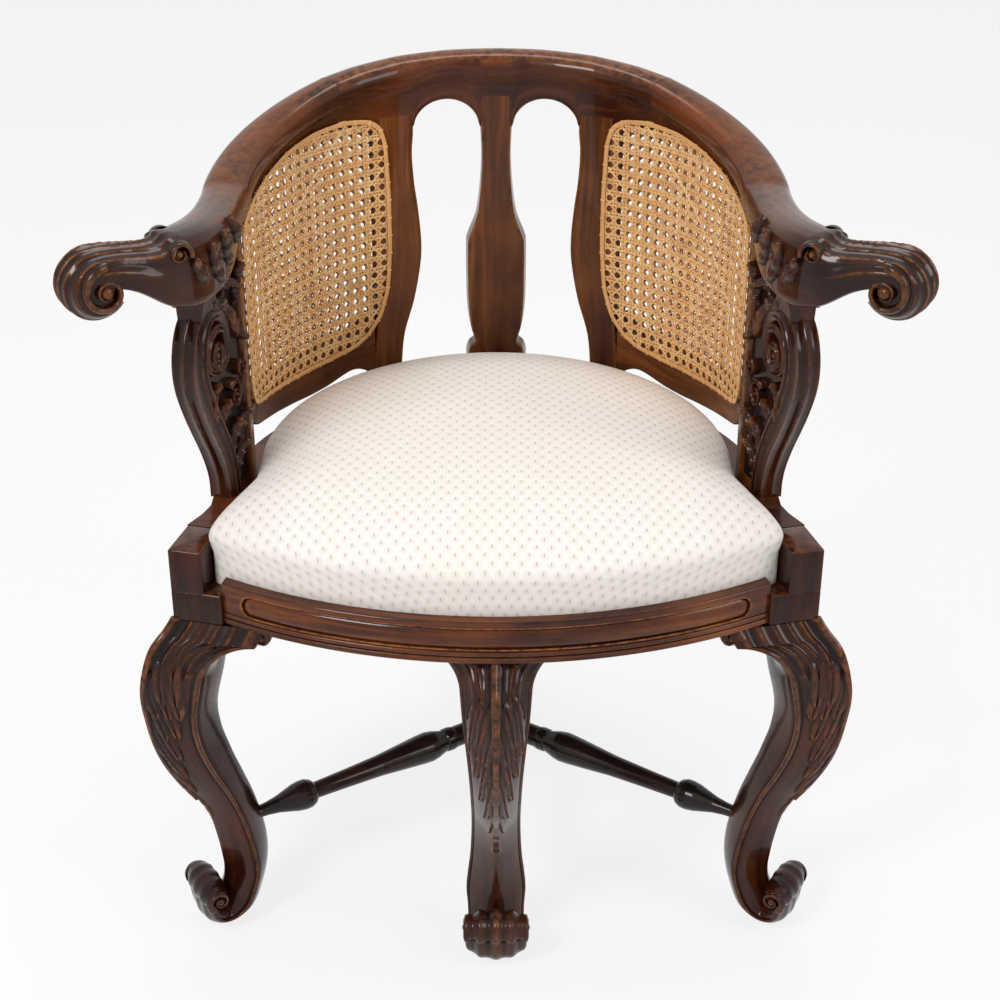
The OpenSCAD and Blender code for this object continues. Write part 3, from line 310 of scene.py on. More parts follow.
def leaf(points, normals, width, height, lobes, curl=0.35, base=0.0015):
    """A lobed leaf along points: its lobes point to the tip and curved veins divide them."""
    a = np.linspace(0, 1, len(points))[:, None]
    q = np.linspace(-1, 1, 25)[None]
    outline = np.minimum(1, 0.35 + 1.5 * a) * np.sqrt(np.clip(1 - a**3.2, 0, 1))
    half = width * outline * (0.72 + 0.28 * np.mod(a * lobes, 1.0) ** 0.7)
    vein = 0.5 - 0.5 * np.cos(2 * math.pi * (a * lobes - 0.45 * np.abs(q)))
    body = np.sqrt(np.clip(1 - np.abs(q) ** 2.4, 0, 1))
    rib = np.exp(-(q / 0.10) ** 2)
    profile = body * (0.42 + 0.3 * a + 0.34 * vein * np.minimum(1, np.abs(q) * 3)) + 0.22 * rib
    profile = profile + curl * body * np.exp(-((a - 0.9) / 0.12) ** 2)
    # The relief paints shade at the leaf's edges and low parts and wear with a painted highlight
    # on its ridges.
    relief = np.clip(0.1 + 0.75 * (profile - 0.35) / 0.65, 0.02, 1)
    return strip(points, normals, half, height * profile - base * (1 - body)), relief


def tapered(m, start, end, low=0.25):
    """Shares that swell from a low value over the start and fall again over the end."""
    t = np.linspace(0, 1, m)
    return low + (1 - low) * np.sqrt(np.clip(np.minimum(t / start, (1 - t) / end), 0, 1))


def spiral(centre, radius, start, turn, ratio, count):
    """Points in a plane that wind inward by a ratio each turn, with their radii."""
    t = np.linspace(0, 1, count)
    r = radius * ratio ** (abs(turn) * t / 360)
    a = np.radians(start + turn * t)
    return np.stack([centre[0] + r * np.cos(a), centre[1] + r * np.sin(a)], axis=-1), r


def dome(piece, centre, axis, radius, height):
    """A round button on a surface."""
    axis = unit(np.asarray(axis, float))
    x = unit(np.cross(axis, UP + np.array([0.1, 0.2, 0])))
    y = np.cross(axis, x)
    t = np.radians(np.linspace(0, 96, 12))[:, None]
    a = np.radians(np.arange(0, 360, 15))[None]
    reach = radius * np.sin(np.maximum(t, 0.02))
    # Its relief of 0.75 paints the button with wear and a painted highlight.
    piece.grid(centre + (reach * np.cos(a))[..., None] * x + (reach * np.sin(a))[..., None] * y
               + (height * np.cos(t) * np.ones_like(a))[..., None] * axis, relief=0.75)


def outward_of(surface):
    """The direction in which the depths of a surface grow."""
    place = np.zeros((1, 2))
    return (surface(place, 1.0) - surface(place, 0.0))[0]


def scroll(piece, surface, flip, turns, band, height, eye, depths, base=0.004, groove=0.0,
           tint=0.5):
    """A band that winds inward to a round eye on a surface.

    surface places points of the spiral's plane at a depth, turns are the spiral's numbers, band
    is the half width over the radius, and depths are the band's and the eye's.
    """
    normal = outward_of(surface)
    flat, r = spiral(*turns)
    grid, relief = ribbon(surface(flat, depths[0]), normal, band * r, height, groove, base)
    piece.grid(grid, relief, closed=False, flip=flip, tint=tint)
    dome(piece, surface(np.array([turns[0]], float), depths[1])[0], normal, *eye)


# Materials

class Nodes:
    """Adds shader nodes to a material or world and links them by name."""

    def __init__(self, owner):
        owner.use_nodes = True
        self.owner, self.tree = owner, owner.node_tree
        self.shader = self.tree.nodes.get("Principled BSDF")

    def link(self, value, socket):
        """Links an output to a socket, or sets the socket to a number or colour."""
        if isinstance(value, bpy.types.NodeSocket):
            self.tree.links.new(value, socket)
        else:
            socket.default_value = value

    def add(self, kind, inputs=(), **settings):
        node = self.tree.nodes.new("ShaderNode" + kind)
        for key, value in settings.items():
            setattr(node, key, value)
        for key, value in dict(inputs).items():
            self.link(value, node.inputs[key])
        return node

    def place(self):
        return self.add("TexCoord").outputs["Object"]

    def attribute(self, name, output="Fac"):
        return self.add("Attribute", attribute_name=name).outputs[output]

    def scaled(self, vector, scale):
        return self.add("VectorMath", {0: vector, 1: scale}, operation="MULTIPLY").outputs[0]

    def noise(self, vector, scale, detail=4.0, roughness=0.55, distortion=0.0):
        inputs = {"Vector": vector, "Scale": scale, "Detail": detail, "Roughness": roughness,
                  "Distortion": distortion}
        return self.add("TexNoise", inputs).outputs["Fac"]

    def wave(self, vector, scale, distortion, detail, direction):
        return self.add("TexWave", {"Vector": vector, "Scale": scale, "Distortion": distortion,
                                    "Detail": detail}, bands_direction=direction).outputs["Fac"]

    def ramp(self, value, stops):
        node = self.add("ValToRGB", {"Fac": value})
        elements = node.color_ramp.elements
        elements.new(0.5)
        for element, (place, colour) in zip(elements, stops):
            element.position = place
            element.color = (*colour, 1)
        return node.outputs["Color"]

    def shade(self, value, low, high):
        """A value stretched so that low becomes 0 and high becomes 1."""
        return self.add("MapRange", {"Value": value, "From Min": low, "From Max": high}).outputs[0]

    def maths(self, operation, a, b=0.0):
        return self.add("Math", {0: a, 1: b}, operation=operation).outputs[0]

    def times(self, a, b):
        return self.maths("MULTIPLY", a, b)

    def mix(self, factor, a, b):
        node = self.add("Mix", data_type="RGBA")
        for index, value in ((0, factor), (6, a), (7, b)):
            self.link((*value, 1) if isinstance(value, tuple) else value, node.inputs[index])
        return node.outputs[2]

    def bump(self, height, strength, distance, normal=None):
        inputs = {"Height": height, "Strength": strength, "Distance": distance}
        if normal is not None:
            inputs["Normal"] = normal
        return self.add("Bump", inputs).outputs["Normal"]

    def finish(self, **sockets):
        """Sets the shader's sockets, with spaces in their names written as underscores."""
        for key, value in sockets.items():
            self.link(value, self.shader.inputs[key.replace("_", " ")])
        return self.owner

    def show_when_seen(self, share, shader, output):
        """Mixes in a share of a shader for the camera, mirrors and glass, not for the light."""
        path = self.add("LightPath").outputs
        seen = self.maths("MAXIMUM", path["Is Camera Ray"], path["Is Glossy Ray"])
        seen = self.times(self.maths("MAXIMUM", seen, path["Is Transmission Ray"]), share)
        end = self.tree.nodes[output].inputs[0]
        mixer = self.add("MixShader", {0: seen, 1: end.links[0].from_socket, 2: shader.outputs[0]})
        self.link(mixer.outputs[0], end)


def new_material(name):
    return Nodes(bpy.data.materials.new(name))


def wood(name, dark, middle, light, worn_highlight, blotch=0.5, gloss=0.3, on_grid=True):
    """Polished wood with streaks and pores, with painted shade in its hollows and its edges
    lightened as wear and painted highlight.
    """
    n = new_material(name)
    place = n.place()
    board = n.attribute("grain", "Vector") if on_grid else place
    streaks = n.noise(n.scaled(board, (7, 110, 110)), 1.0, 5.0, 0.62, 0.6)
    bands = n.noise(n.scaled(board, (2.2, 26, 26)), 1.0, 3.0, 0.5, 0.8)
    patches = n.noise(place, 11.0, 3.0, 0.55)
    pores = n.noise(n.scaled(board, (70, 1500, 1500)), 1.0, 2.0, 0.5)
    colour = n.ramp(streaks, [(0.25, dark), (0.5, middle), (0.78, light)])
    colour = n.mix(n.shade(bands, 0.42, 0.66), colour, dark)
    colour = n.mix(n.times(n.shade(patches, 0.45, 0.72), blotch), colour, light)
    colour = n.mix(n.times(n.shade(pores, 0.60, 0.72), 0.5), colour,
                   tuple(c * 0.35 for c in dark))
    if on_grid:
        shaded = n.times(n.shade(n.attribute("tint"), 0.5, 1.0), 0.72)
        colour = n.mix(shaded, colour, tuple(c * 0.8 for c in dark))
        relief = n.attribute("relief")
        # Painted shade: hollows darken toward near black.
        hollow = n.shade(relief, 0.42, 0.08)
        colour = n.mix(n.times(hollow, 0.86), colour, tuple(c * 0.22 for c in dark))
        # Wear and painted highlight: raised edges lighten toward the worn colour.
        wear_and_highlight = n.times(n.shade(relief, 0.58, 0.86),
                       n.shade(n.noise(place, 130.0, 4.0, 0.6), 0.36, 0.62))
        colour = n.mix(n.times(wear_and_highlight, 0.75), colour, worn_highlight)
    scratch = n.noise(n.scaled(board, (22, 900, 900)), 1.0, 1.0, 0.4, 2.2)
    rough = n.maths("ADD", gloss, n.times(n.shade(patches, 0.3, 0.7), 0.14))
    rough = n.maths("ADD", rough, n.times(n.shade(scratch, 0.66, 0.74), 0.2))
    if on_grid:
        rough = n.maths("ADD", rough, n.times(hollow, 0.4))
    normal = n.bump(n.noise(n.scaled(board, (12, 200, 200)), 1.0, 3.0), 0.10, 0.0006)
    normal = n.bump(pores, 0.10, 0.0003, normal)
    return n.finish(Base_Color=colour, Roughness=rough, Normal=normal, Coat_Weight=0.30,
                    Coat_Roughness=0.05, Specular_IOR_Level=0.14)


# The last colour of each wood is for its worn edges with their painted highlight.
MAHOGANY = wood("mahogany", (0.012, 0.003, 0.002), (0.062, 0.012, 0.003), (0.20, 0.050, 0.009),
                (0.30, 0.098, 0.020), gloss=0.18)
CARVED = wood("carved_mahogany", (0.009, 0.002, 0.002), (0.036, 0.008, 0.003),
              (0.100, 0.023, 0.007), (0.21, 0.066, 0.018), gloss=0.17)
WARM = wood("warm_mahogany", (0.042, 0.011, 0.004), (0.150, 0.042, 0.008), (0.29, 0.095, 0.017),
            (0.42, 0.17, 0.04), blotch=0.35, gloss=0.22)
PLAIN_RAIL = wood("rail_mahogany", (0.022, 0.005, 0.002), (0.078, 0.017, 0.005),
                  (0.20, 0.055, 0.013), (0.42, 0.17, 0.06), on_grid=False)
BEECH = wood("beech", (0.30, 0.19, 0.10), (0.42, 0.28, 0.16), (0.52, 0.37, 0.22),
             (0.6, 0.45, 0.3), blotch=0.2, gloss=0.6, on_grid=False)


def cane_material():
    """Split cane: glossy tan strands that differ a little from one to the next."""
    n = new_material("cane")
    place = n.place()
    tint = n.attribute("tint")
    colour = n.ramp(tint, [(0.0, (0.50, 0.21, 0.065)), (0.4, (0.78, 0.42, 0.15)),
                           (1.0, (0.93, 0.62, 0.29))])
    stain = n.shade(n.noise(place, 60.0, 3.0), 0.5, 0.75)
    colour = n.mix(n.times(stain, 0.4), colour, (0.42, 0.20, 0.08))
    fibre = n.noise(n.scaled(n.attribute("grain", "Vector"), (60, 4000, 4000)), 1.0, 2.0)
    return n.finish(Base_Color=colour, Roughness=0.42, Normal=n.bump(fibre, 0.2, 0.0002),
                    Coat_Weight=0.2, Coat_Roughness=0.25)


CANE = cane_material()


def cloth_material():
    """Woven cream cloth with a small staggered dash and a fan of raised threads round it."""
    n = new_material("seat_cloth")
    across, down = 0.0135, 0.0185
    cloth = n.attribute("grain", "Vector")
    parts = n.add("SeparateXYZ", {0: cloth})

    def lattice(dx, dy):
        """Distances from the nearest motif of one of the two lattices, in metres."""
        out = []
        for socket, pitch, shift in ((parts.outputs[0], across, dx), (parts.outputs[1], down, dy)):
            share = n.maths("ADD", n.maths("DIVIDE", socket, pitch), shift + 0.5)
            out.append(n.times(n.maths("SUBTRACT", n.maths("FRACT", share), 0.5), pitch))
        return out

    def dash(x, y):
        """1 inside a motif's upright oval and 0 outside it."""
        across, along = (
            n.maths("POWER", n.maths("DIVIDE", n.maths("ABSOLUTE", far), half), 2.0)
            for far, half in ((x, 0.0007), (y, 0.0021)))
        return n.shade(n.maths("ADD", across, along), 1.5, 0.6)

    first, second = lattice(0.0, 0.0), lattice(0.5, 0.5)
    dashes = n.maths("MAXIMUM", dash(*first), dash(*second))
    rings = []
    for x, y in (first, second):
        y = n.maths("ADD", y, 0.001)
        rings.append(n.maths("SQRT", n.maths("ADD", n.times(x, x), n.times(y, y))))
    fan = n.shade(n.maths("MINIMUM", *rings), 0.0030, 0.0064)
    place = n.place()
    weave = n.times(n.wave(cloth, 620.0, 0.6, 1.0, "X"), n.wave(cloth, 560.0, 0.6, 1.0, "Y"))
    colour = n.mix(fan, (0.90, 0.84, 0.77), (0.96, 0.925, 0.875))
    colour = n.mix(n.times(weave, 0.16), colour, (0.78, 0.70, 0.64))
    colour = n.mix(n.times(n.shade(n.noise(place, 9.0, 3.0), 0.55, 0.8), 0.12), colour,
                   (0.85, 0.76, 0.55))
    colour = n.mix(n.times(dashes, 0.55), colour, (0.38, 0.29, 0.24))
    height = n.maths("ADD", n.times(fan, 0.6), n.times(weave, 0.25))
    height = n.maths("SUBTRACT", height, n.times(dashes, 0.5))
    return n.finish(Base_Color=colour, Roughness=0.86, Normal=n.bump(height, 0.55, 0.0009),
                    Sheen_Weight=0.25, Sheen_Roughness=0.5)


CLOTH = cloth_material()


def plain_cloth(name, low, high, scale):
    """A dull, plainly woven cloth."""
    n = new_material(name)
    place = n.place()
    weave = n.times(n.wave(place, scale, 1.0, 2.0, "X"), n.wave(place, scale, 1.0, 2.0, "Y"))
    colour = n.mix(n.maths("MAXIMUM", weave, n.noise(place, 40.0)), low, high)
    return n.finish(Base_Color=colour, Roughness=0.9, Normal=n.bump(weave, 0.4, 0.0006))


def metal(name, low, high, rough):
    """Slightly stained metal."""
    n = new_material(name)
    place = n.place()
    colour = n.mix(n.shade(n.noise(place, 180.0, 5.0), 0.35, 0.65), low, high)
    return n.finish(Base_Color=colour, Metallic=1.0, Roughness=rough,
                    Normal=n.bump(n.noise(place, 400.0), 0.15, 0.0003))


# Legs

# Rows of shares of a leg's sizes: outward, height, half depth and half width, and the power of
# its section, which is 1 for a diamond and 2 for an oval
LEG_LINE = [
    (0.22, 0.970, 0.87, 0.85, 1.08), (0.60, 0.917, 0.98, 0.82, 1.15),
    (0.88, 0.818, 1.00, 0.75, 1.2), (0.98, 0.719, 0.86, 0.66, 1.2),
    (0.83, 0.628, 0.79, 0.60, 1.2), (0.46, 0.535, 0.71, 0.57, 1.2),
    (0.06, 0.455, 0.62, 0.56, 1.2)]
SHIN_LINE = [
    (-0.26, 0.374, 1.00, 0.96, 1.2), (-0.46, 0.294, 1.02, 1.02, 1.2),
    (-0.56, 0.230, 1.02, 1.12, 1.2), (-0.57, 0.176, 0.98, 1.18, 1.25)]
FOOT_LINE = [
    (-0.44, 0.121, 0.90, 0.90, 1.35), (-0.176, 0.071, 0.85, 0.88, 1.45),
    (0.28, 0.047, 0.583, 0.86, 1.6), (0.72, 0.065, 0.47, 0.94, 1.8)]
TOE_TURNS, TOE_STEPS, LEG_STEPS = (-30, 130), 60, 24
TOE_MIDDLE = (0.70 * FOOT_SWING, 0.129 * LEG_H)
TURNED_SHARES = [(0.60, 1), (0.75, 0)]


def toe_row(t):
    """The row of the toe's roll at a turn about its middle."""
    return (TOE_MIDDLE[0] + TOE_TURN * math.cos(math.radians(t)),
            TOE_MIDDLE[1] + TOE_TURN * math.sin(math.radians(t)), 0.82 * TOE_TURN, TOE_HALF, 2)


def leg_rows():
    """Rows of the leg's line from the rail to the toe: outward, height and half widths."""
    half = BLOCK_W / math.sqrt(2)
    rows = [(0, LEG_H, half, half, 1.0)]
    for line, swing, half_deep, half_wide in ((LEG_LINE, KNEE_SWING, KNEE_HALF, KNEE_HALF),
                                              (SHIN_LINE, FOOT_SWING, ANKLE_HALF, ANKLE_HALF),
                                              (FOOT_LINE, FOOT_SWING, ANKLE_HALF, TOE_HALF)):
        rows += [*np.multiply(line, (swing, LEG_H, half_deep, half_wide, 1))]
    return curve(rows + [toe_row(TOE_TURNS[0])], LEG_STEPS)


def leg_surface(turns):
    """The smooth leg as a grid: each ring's points are at the given turns from its arris."""
    rows = leg_rows()
    slope = np.degrees(np.arctan2(np.gradient(rows[:, 1]), np.gradient(rows[:, 0]))) + 90
    slope = slope * np.interp(rows[:, 1] / LEG_H, *zip(*TURNED_SHARES))
    toes = np.array([toe_row(t) for t in np.linspace(*TOE_TURNS, TOE_STEPS)])
    rows = np.concatenate([rows[:-1], toes])
    slope = np.concatenate([slope[:-1], np.linspace(*TOE_TURNS, TOE_STEPS) + 180])
    c, s = np.cos(turns)[None], np.sin(turns)[None]
    p = rows[:, 4:5]
    m = (np.abs(c) ** p + np.abs(s) ** p) ** (1 / p)
    u, v = rows[:, 2:3] * c / m, rows[:, 3:4] * s / m
    a = np.radians(slope)[:, None]
    return np.stack([rows[:, :1] + u * np.cos(a), v, rows[:, 1:2] + u * np.sin(a)], axis=-1), rows


# Tiers of a knee's leaf: height of the lobes' tips and their places across the face
KNEE_TIERS = [(0.184, (0.13,)), (0.206, (0.30,)), (0.228, (0.20, 0.47)), (0.252, (0.34, 0.64)),
              (0.276, (0.24, 0.52, 0.76)), (0.292, (0.40, 0.68))]
LOBE_LONG, LOBE_HALF, LOBE_RISE, LOBE_LEAN = 0.046, 0.165, 0.0044, 0.20
# Edges of the flutes below the rail, across the face, and the heights where each ends
FLUTE_EDGES = [0.07, 0.24, 0.42, 0.60, 0.76, 0.90]
FLUTE_ENDS = [0.318, 0.314, 0.312, 0.318, 0.326]
MIDDLE_FLUTE_EDGES = [0.10, 0.34, 0.60, 0.90]
FLUTE_DEPTH, FLUTE_FADE = 0.0030, 0.014
# The stem along the leg's arris: height and half width across the face
STEM_ROWS, STEM_RISE = [(0.158, 0.0), (0.200, 0.030), (0.30, 0.065), (0.374, 0.075)], 0.0036
# Buds under the stem: height and its half, place across the face and its half
BUDS, BUD_RISE = ((0.166, 0.008, 0.045, 0.05), (0.152, 0.011, 0.085, 0.06)), 0.0020


def flute_depths(face, z, edges):
    """Depths of the flutes that run down from the rail."""
    depth = np.zeros(np.broadcast_shapes(face.shape, z.shape))
    for left, right, end in zip(edges[:-1], edges[1:], FLUTE_ENDS):
        across = np.clip((face - left) / (right - left), 0, 1)
        fade = np.clip((z - end) / FLUTE_FADE, 0, 1)
        depth = np.maximum(depth, FLUTE_DEPTH * np.sqrt(np.sin(math.pi * across) * fade))
    return depth


def lobe_heights(face, z, low, tip):
    """Heights of one lobe of a knee's leaf, which leans to the arris above its tip."""
    a = np.clip((z - low) / LOBE_LONG, 0, 1)
    swell = np.sqrt(np.clip(1 - (1 - np.minimum(a / 0.45, 1)) ** 2, 0, 1))
    b = (face - (tip - LOBE_LEAN * a)) / (LOBE_HALF * swell + 1e-6)
    body = np.clip(1 - np.abs(b) ** 2.6, 0, 1) ** 0.5
    vein = 0.50 * np.exp(-(b / 0.16) ** 2)
    lobe = LOBE_RISE * body * (1 - vein) * (1 - a) ** 0.8
    return np.where((z > low) & (z < low + LOBE_LONG), lobe, 0)


def knee_heights(face, z, edges):
    """Heights of the knee's carving: flutes from the rail, then tiers of lobes on a stem."""
    height = 0 * (face + z)
    for low, places in KNEE_TIERS:
        for tip in places:
            height = np.maximum(height, lobe_heights(face, z, low, tip))
    height = height - flute_depths(face, z, edges) * np.clip(1 - height / 0.0014, 0, 1)
    stem_half = lookup(z, STEM_ROWS)
    stem = STEM_RISE * np.sqrt(np.clip(1 - (face / np.maximum(stem_half, 1e-4)) ** 2, 0, 1))
    height = np.where((stem_half > 0.004) & (stem > 0), np.maximum(height, stem), height)
    for middle, half_high, place, half_wide in BUDS:
        bud = 1 - ((z - middle) / half_high) ** 2 - ((face - place) / half_wide) ** 2
        height = np.where(bud > 0, BUD_RISE * np.sqrt(np.clip(bud, 0, 1)), height)
    return height


def bead_heights(face, z):
    """A raised bead and a quirk beside it, along the face's outer arris."""
    fade = np.clip((0.362 - z) / 0.02, 0, 1)
    bead = 0.0011 * np.exp(-((face - 0.975) / 0.028) ** 2)
    quirk = 0.0014 * np.exp(-((face - 0.915) / 0.022) ** 2)
    return (bead - quirk) * fade


EAR_T, EAR_EYE, EAR_HOLLOW = 0.026, 0.008, 0.72
# The middle legs' and the side legs' ears: their turn from the leg's front, length and drop
MIDDLE_TURN, MIDDLE_EAR, MIDDLE_DROP = 90, 0.031, 0.040
SIDE_TURN, SIDE_EAR, SIDE_DROP = 135, 0.046, 0.058


def ear_reach(z, length, drop):
    """How far the leg spreads along its rail at a height, out to the scroll that ends it."""
    rise = np.clip((z - (LEG_H - drop)) / (EAR_HOLLOW * drop), 0, 1)
    return (length - 0.6 * EAR_EYE) * (1 - np.sqrt(1 - rise**2))


def spread(points, near, turn, length):
    """Moves the leg's side arrises out along the rails, so that its faces run into the ears."""
    outer = np.clip(near, 0, 1) ** 1.7
    ear_share, drop = (0.5, MIDDLE_DROP) if turn == MIDDLE_TURN else (1.0, SIDE_DROP)
    behind = np.clip((1 + EAR_T / BLOCK_W * ear_share - near) / 0.05, 0, 1)
    share = np.where(near <= 1, outer, behind)
    reach = ear_reach(points[..., 2], length, drop) * share
    t = math.radians(turn)
    side = np.sign(points[..., 1])
    moved = points.copy()
    moved[..., 0] += reach * math.cos(t)
    moved[..., 1] += reach * math.sin(t) * side
    return moved


def leg_grid(turn, length):
    """One leg in its own frame, with its carving, and the carving's relief."""
    quarter = np.linspace(0, 1, 60, endpoint=False)
    warped = quarter + 0.08 * np.sin(2 * math.pi * quarter)
    turns = np.radians(np.concatenate([90 * (k + warped) for k in range(4)]))
    points, rows = leg_surface(turns)
    degrees = (np.degrees(turns) + 180) % 360 - 180
    face = (np.abs(degrees) / 90)[None]
    z = rows[:, 1:2]
    points = spread(points, np.broadcast_to(face, points.shape[:2]), turn, length)
    outer = face <= 1
    edges, depth = FLUTE_EDGES, 0.0007
    if turn == MIDDLE_TURN:
        edges, depth = MIDDLE_FLUTE_EDGES, 0.0032
    height = np.where(outer, knee_heights(face, z, edges), 0)
    in_toe = np.arange(len(rows))[:, None] - (len(rows) - TOE_STEPS - LEG_STEPS)
    height = height + np.where(in_toe > 0, 0, bead_heights(np.minimum(face, 2 - face), z))
    flutes = 0.7 * depth - depth * np.sin(points[..., 1] / TOE_HALF * 2 * math.pi) ** 2
    underside = np.clip(-np.cos(turns)[None] * 3 + 0.2, 0, 1)
    height = height + flutes * np.clip((in_toe + 12) / 16, 0, 1) * underside
    centre = np.stack([rows[:, 0], 0 * rows[:, 0], rows[:, 1]], axis=-1)
    outward = points - centre[:, None]
    carved = raised(points, height, outward)
    return carved, relief_of(height, 0.0024)


def end_scrolls(piece, place, middle, flipped, turns, band, height, eye, depths):
    """Scrolls on both ends of a roll that lies across a leg, about a middle."""
    for side in (-1, 1):
        def surface(flat, depth, side=side):
            return place(np.insert(flat, 1, middle + side * depth, axis=1))
        scroll(piece, surface, side == flipped, turns, band, height, eye, depths, base=0.002)


def toe_scrolls(piece, place):
    """The spirals on both ends of a toe's roll."""
    end_scrolls(piece, place, 0.0, 1, (TOE_MIDDLE, 0.0128, -60, 470, 0.42, 70), 0.27,
                0.0030 * tapered(70, 0.1, 0.02), (0.0042, 0.0040),
                (TOE_HALF - 0.0012, TOE_HALF - 0.001))


def ear(piece, place, length, outward):
    """The scroll that ends a knee's ear: a short roll with a spiral on each face."""
    eye_at = (BLOCK_W / 2 + length - EAR_EYE, LEG_H - EAR_EYE - 0.001)
    end_scrolls(piece, place, outward, -1, (eye_at, 0.0088, 100, -430, 0.40, 50), 0.30, 0.0030,
                (0.0030, 0.0028), (EAR_T / 2 - 0.001, EAR_T / 2))
    around = np.radians(np.arange(0, 360, 10))
    t = np.linspace(-1, 1, 13)[:, None]
    radius = EAR_EYE * (1.0 - 0.10 * np.abs(t) ** 6)
    rings = np.broadcast_arrays(eye_at[0] + radius * np.cos(around), outward + t * EAR_T / 2,
                                eye_at[1] + radius * np.sin(around))
    piece.grid(place(np.stack(rings, axis=-1)))


def block(piece, place):
    """The square block on top of a side leg, with worn arrises and a step for the seat; its top
    arrises are lightened as wear and painted highlight.
    """
    parts = ((LEG_H - 0.0004, LEDGE_Z, BLOCK_W), (LEDGE_Z - 0.002, BLOCK_TOP, BLOCK_W - STEP_W))
    for z0, z1, width in parts:
        rings = []
        for z, inset in ((z0, 0.0015), (z0 + 0.0015, 0), (z1 - 0.0018, 0), (z1 - 0.0005, 0.0008),
                         (z1, 0.002)):
            ring = rounded_bar(width - 2 * inset, BLOCK_W - 2 * inset, 0.0018)
            rings.append(level(ring + [(BLOCK_W - width) / 2, 0], z))
        rings = np.array(rings)
        relief = np.full(rings.shape[:2], 0.5)
        # Wear and painted highlight on the top arrises.
        relief[-2:] = 0.72
        piece.grid(place(rotated(rings, 45)), relief, grain=rings[..., [2, 0, 1]])


def make_leg(name, azimuth, radius, y, side, turn, length):
    """A leg whose ears run out at a turn from its front; a side leg has its block on top."""
    piece = Piece(name + "_carved")

    def place(points):
        return mirrored(turned(points, azimuth, radius, y), side)

    carved, relief = leg_grid(turn, length)
    piece.grid(place(carved), relief)
    toe_scrolls(piece, place)
    if turn == SIDE_TURN:
        for way in (-1, 1):
            def ear_place(points, way=way):
                return place(rotated(points, way * turn))
            ear(piece, ear_place, length, -way * (BLOCK_W - EAR_T) / 2)
        block(piece, place)
    return piece.build(CARVED, "frame", "mahogany", replaces=[name])


for name, azimuth in (("leg_front", 0), ("leg_back", 180)):
    make_leg(name, azimuth, LEG_REACH, 0.0, 1, MIDDLE_TURN, MIDDLE_EAR)
for name, side in (("leg_right", 1), ("leg_left", -1)):
    make_leg(name, BLOCK_AZ, BLOCK_R, -TUB_FORWARD, side, SIDE_TURN, SIDE_EAR)


# Tub back

# Edges of the cane, which laps over the wood round its opening: azimuth and share of the back's
# height; PANEL_LOW is the lower edge of the rail below it
CANE_TOP = [(89, 0.575), (89.5, 0.685), (92, 0.729), (100, 0.754), (110, 0.790), (120, 0.824),
            (130, 0.847), (140, 0.855), (147, 0.845), (150.5, 0.821), (151.8, 0.769),
            (152.4, 0.627)]
CANE_LOW = [(89, 0.472), (89.5, 0.302), (91, 0.255), (94, 0.226), (100, 0.205), (110, 0.190),
            (120, 0.181), (132, 0.181), (140, 0.192), (145, 0.218), (149, 0.269),
            (151.5, 0.350), (152.4, 0.472)]
# Share of the back's height, with the azimuths of a stile's edges or half the splat's degrees
BACK_STILE_ROWS = [
    (0.000, 147.0, 154.4), (0.100, 147.0, 154.8), (0.200, 147.6, 155.8), (0.300, 148.6, 158.6),
    (0.400, 149.4, 160.4), (0.470, 149.5, 160.8), (0.560, 149.5, 160.2), (0.650, 149.5, 159.2),
    (0.730, 149.5, 158.8), (0.788, 149.5, 159.2), (0.84, 149.5, 159.2)]
SPLAT_ROWS = [
    (0.000, 6.5), (0.060, 6.0), (0.075, 6.8), (0.105, 7.4), (0.135, 6.8), (0.150, 5.6),
    (0.165, 5.7), (0.200, 6.5), (0.250, 7.0), (0.320, 7.2), (0.440, 7.2), (0.470, 6.8),
    (0.530, 4.9), (0.600, 4.0), (0.700, 3.5), (0.800, 3.8), (0.829, 4.05), (0.88, 4.05)]
PANEL_LOW = [(91, 0.205), (93, 0.176), (97, 0.148), (105, 0.128), (115, 0.111), (125, 0.100),
             (132, 0.104), (138, 0.122), (141, 0.130), (144, 0.118), (147, 0.085)]
ARRIS = 0.0030


def upright(name, rows, side):
    """A bent upright of rows of height and two azimuths, with rounded arrises."""
    dense = curve(rows, 10)
    grid = []
    for z, first, last in dense:
        width = math.radians(last - first) * TUB_R
        ring = rounded_bar(width, TUB_T, ARRIS)
        azimuth = (first + last) / 2 + np.degrees(ring[:, 0] / TUB_R)
        grid.append(polar(TUB_R + ring[:, 1], azimuth, float(back_z(z))))
    piece = Piece(name + "_shaped")
    edges = np.full((len(dense), len(ring)), 0.5)
    corner = np.abs(np.abs(ring[:, 0]) - np.abs(ring[:, 0]).max()) + np.abs(
        np.abs(ring[:, 1]) - TUB_T / 2)
    # Wear and painted highlight along the arrises: their relief is raised so the wood lightens
    # them.
    edges[:, corner < 0.0025] = 0.74
    piece.grid(mirrored(np.array(grid), side), edges)
    return piece.build(WARM, "frame", "mahogany", replaces=[name])


def panel_rail(name, side):
    """The rail under a cane panel, which rises to the panel's shaped lower edge."""
    azimuths = np.linspace(91, 147, 120)
    low = softened(back_z(lookup(azimuths, PANEL_LOW))[:, None], 30, False)[:, 0]
    top = back_z(lookup(azimuths, CANE_LOW)) + CANE_LAP
    grid = []
    for azimuth, z0, z1 in zip(azimuths, low, top):
        ring = rounded_bar(z1 - z0, TUB_T, ARRIS)
        grid.append(polar(TUB_R + ring[:, 1], azimuth, (z0 + z1) / 2 + ring[:, 0]))
    piece = Piece(name + "_shaped")
    piece.grid(mirrored(np.array(grid), side))
    return piece.build(WARM, "frame", "mahogany", replaces=[name])


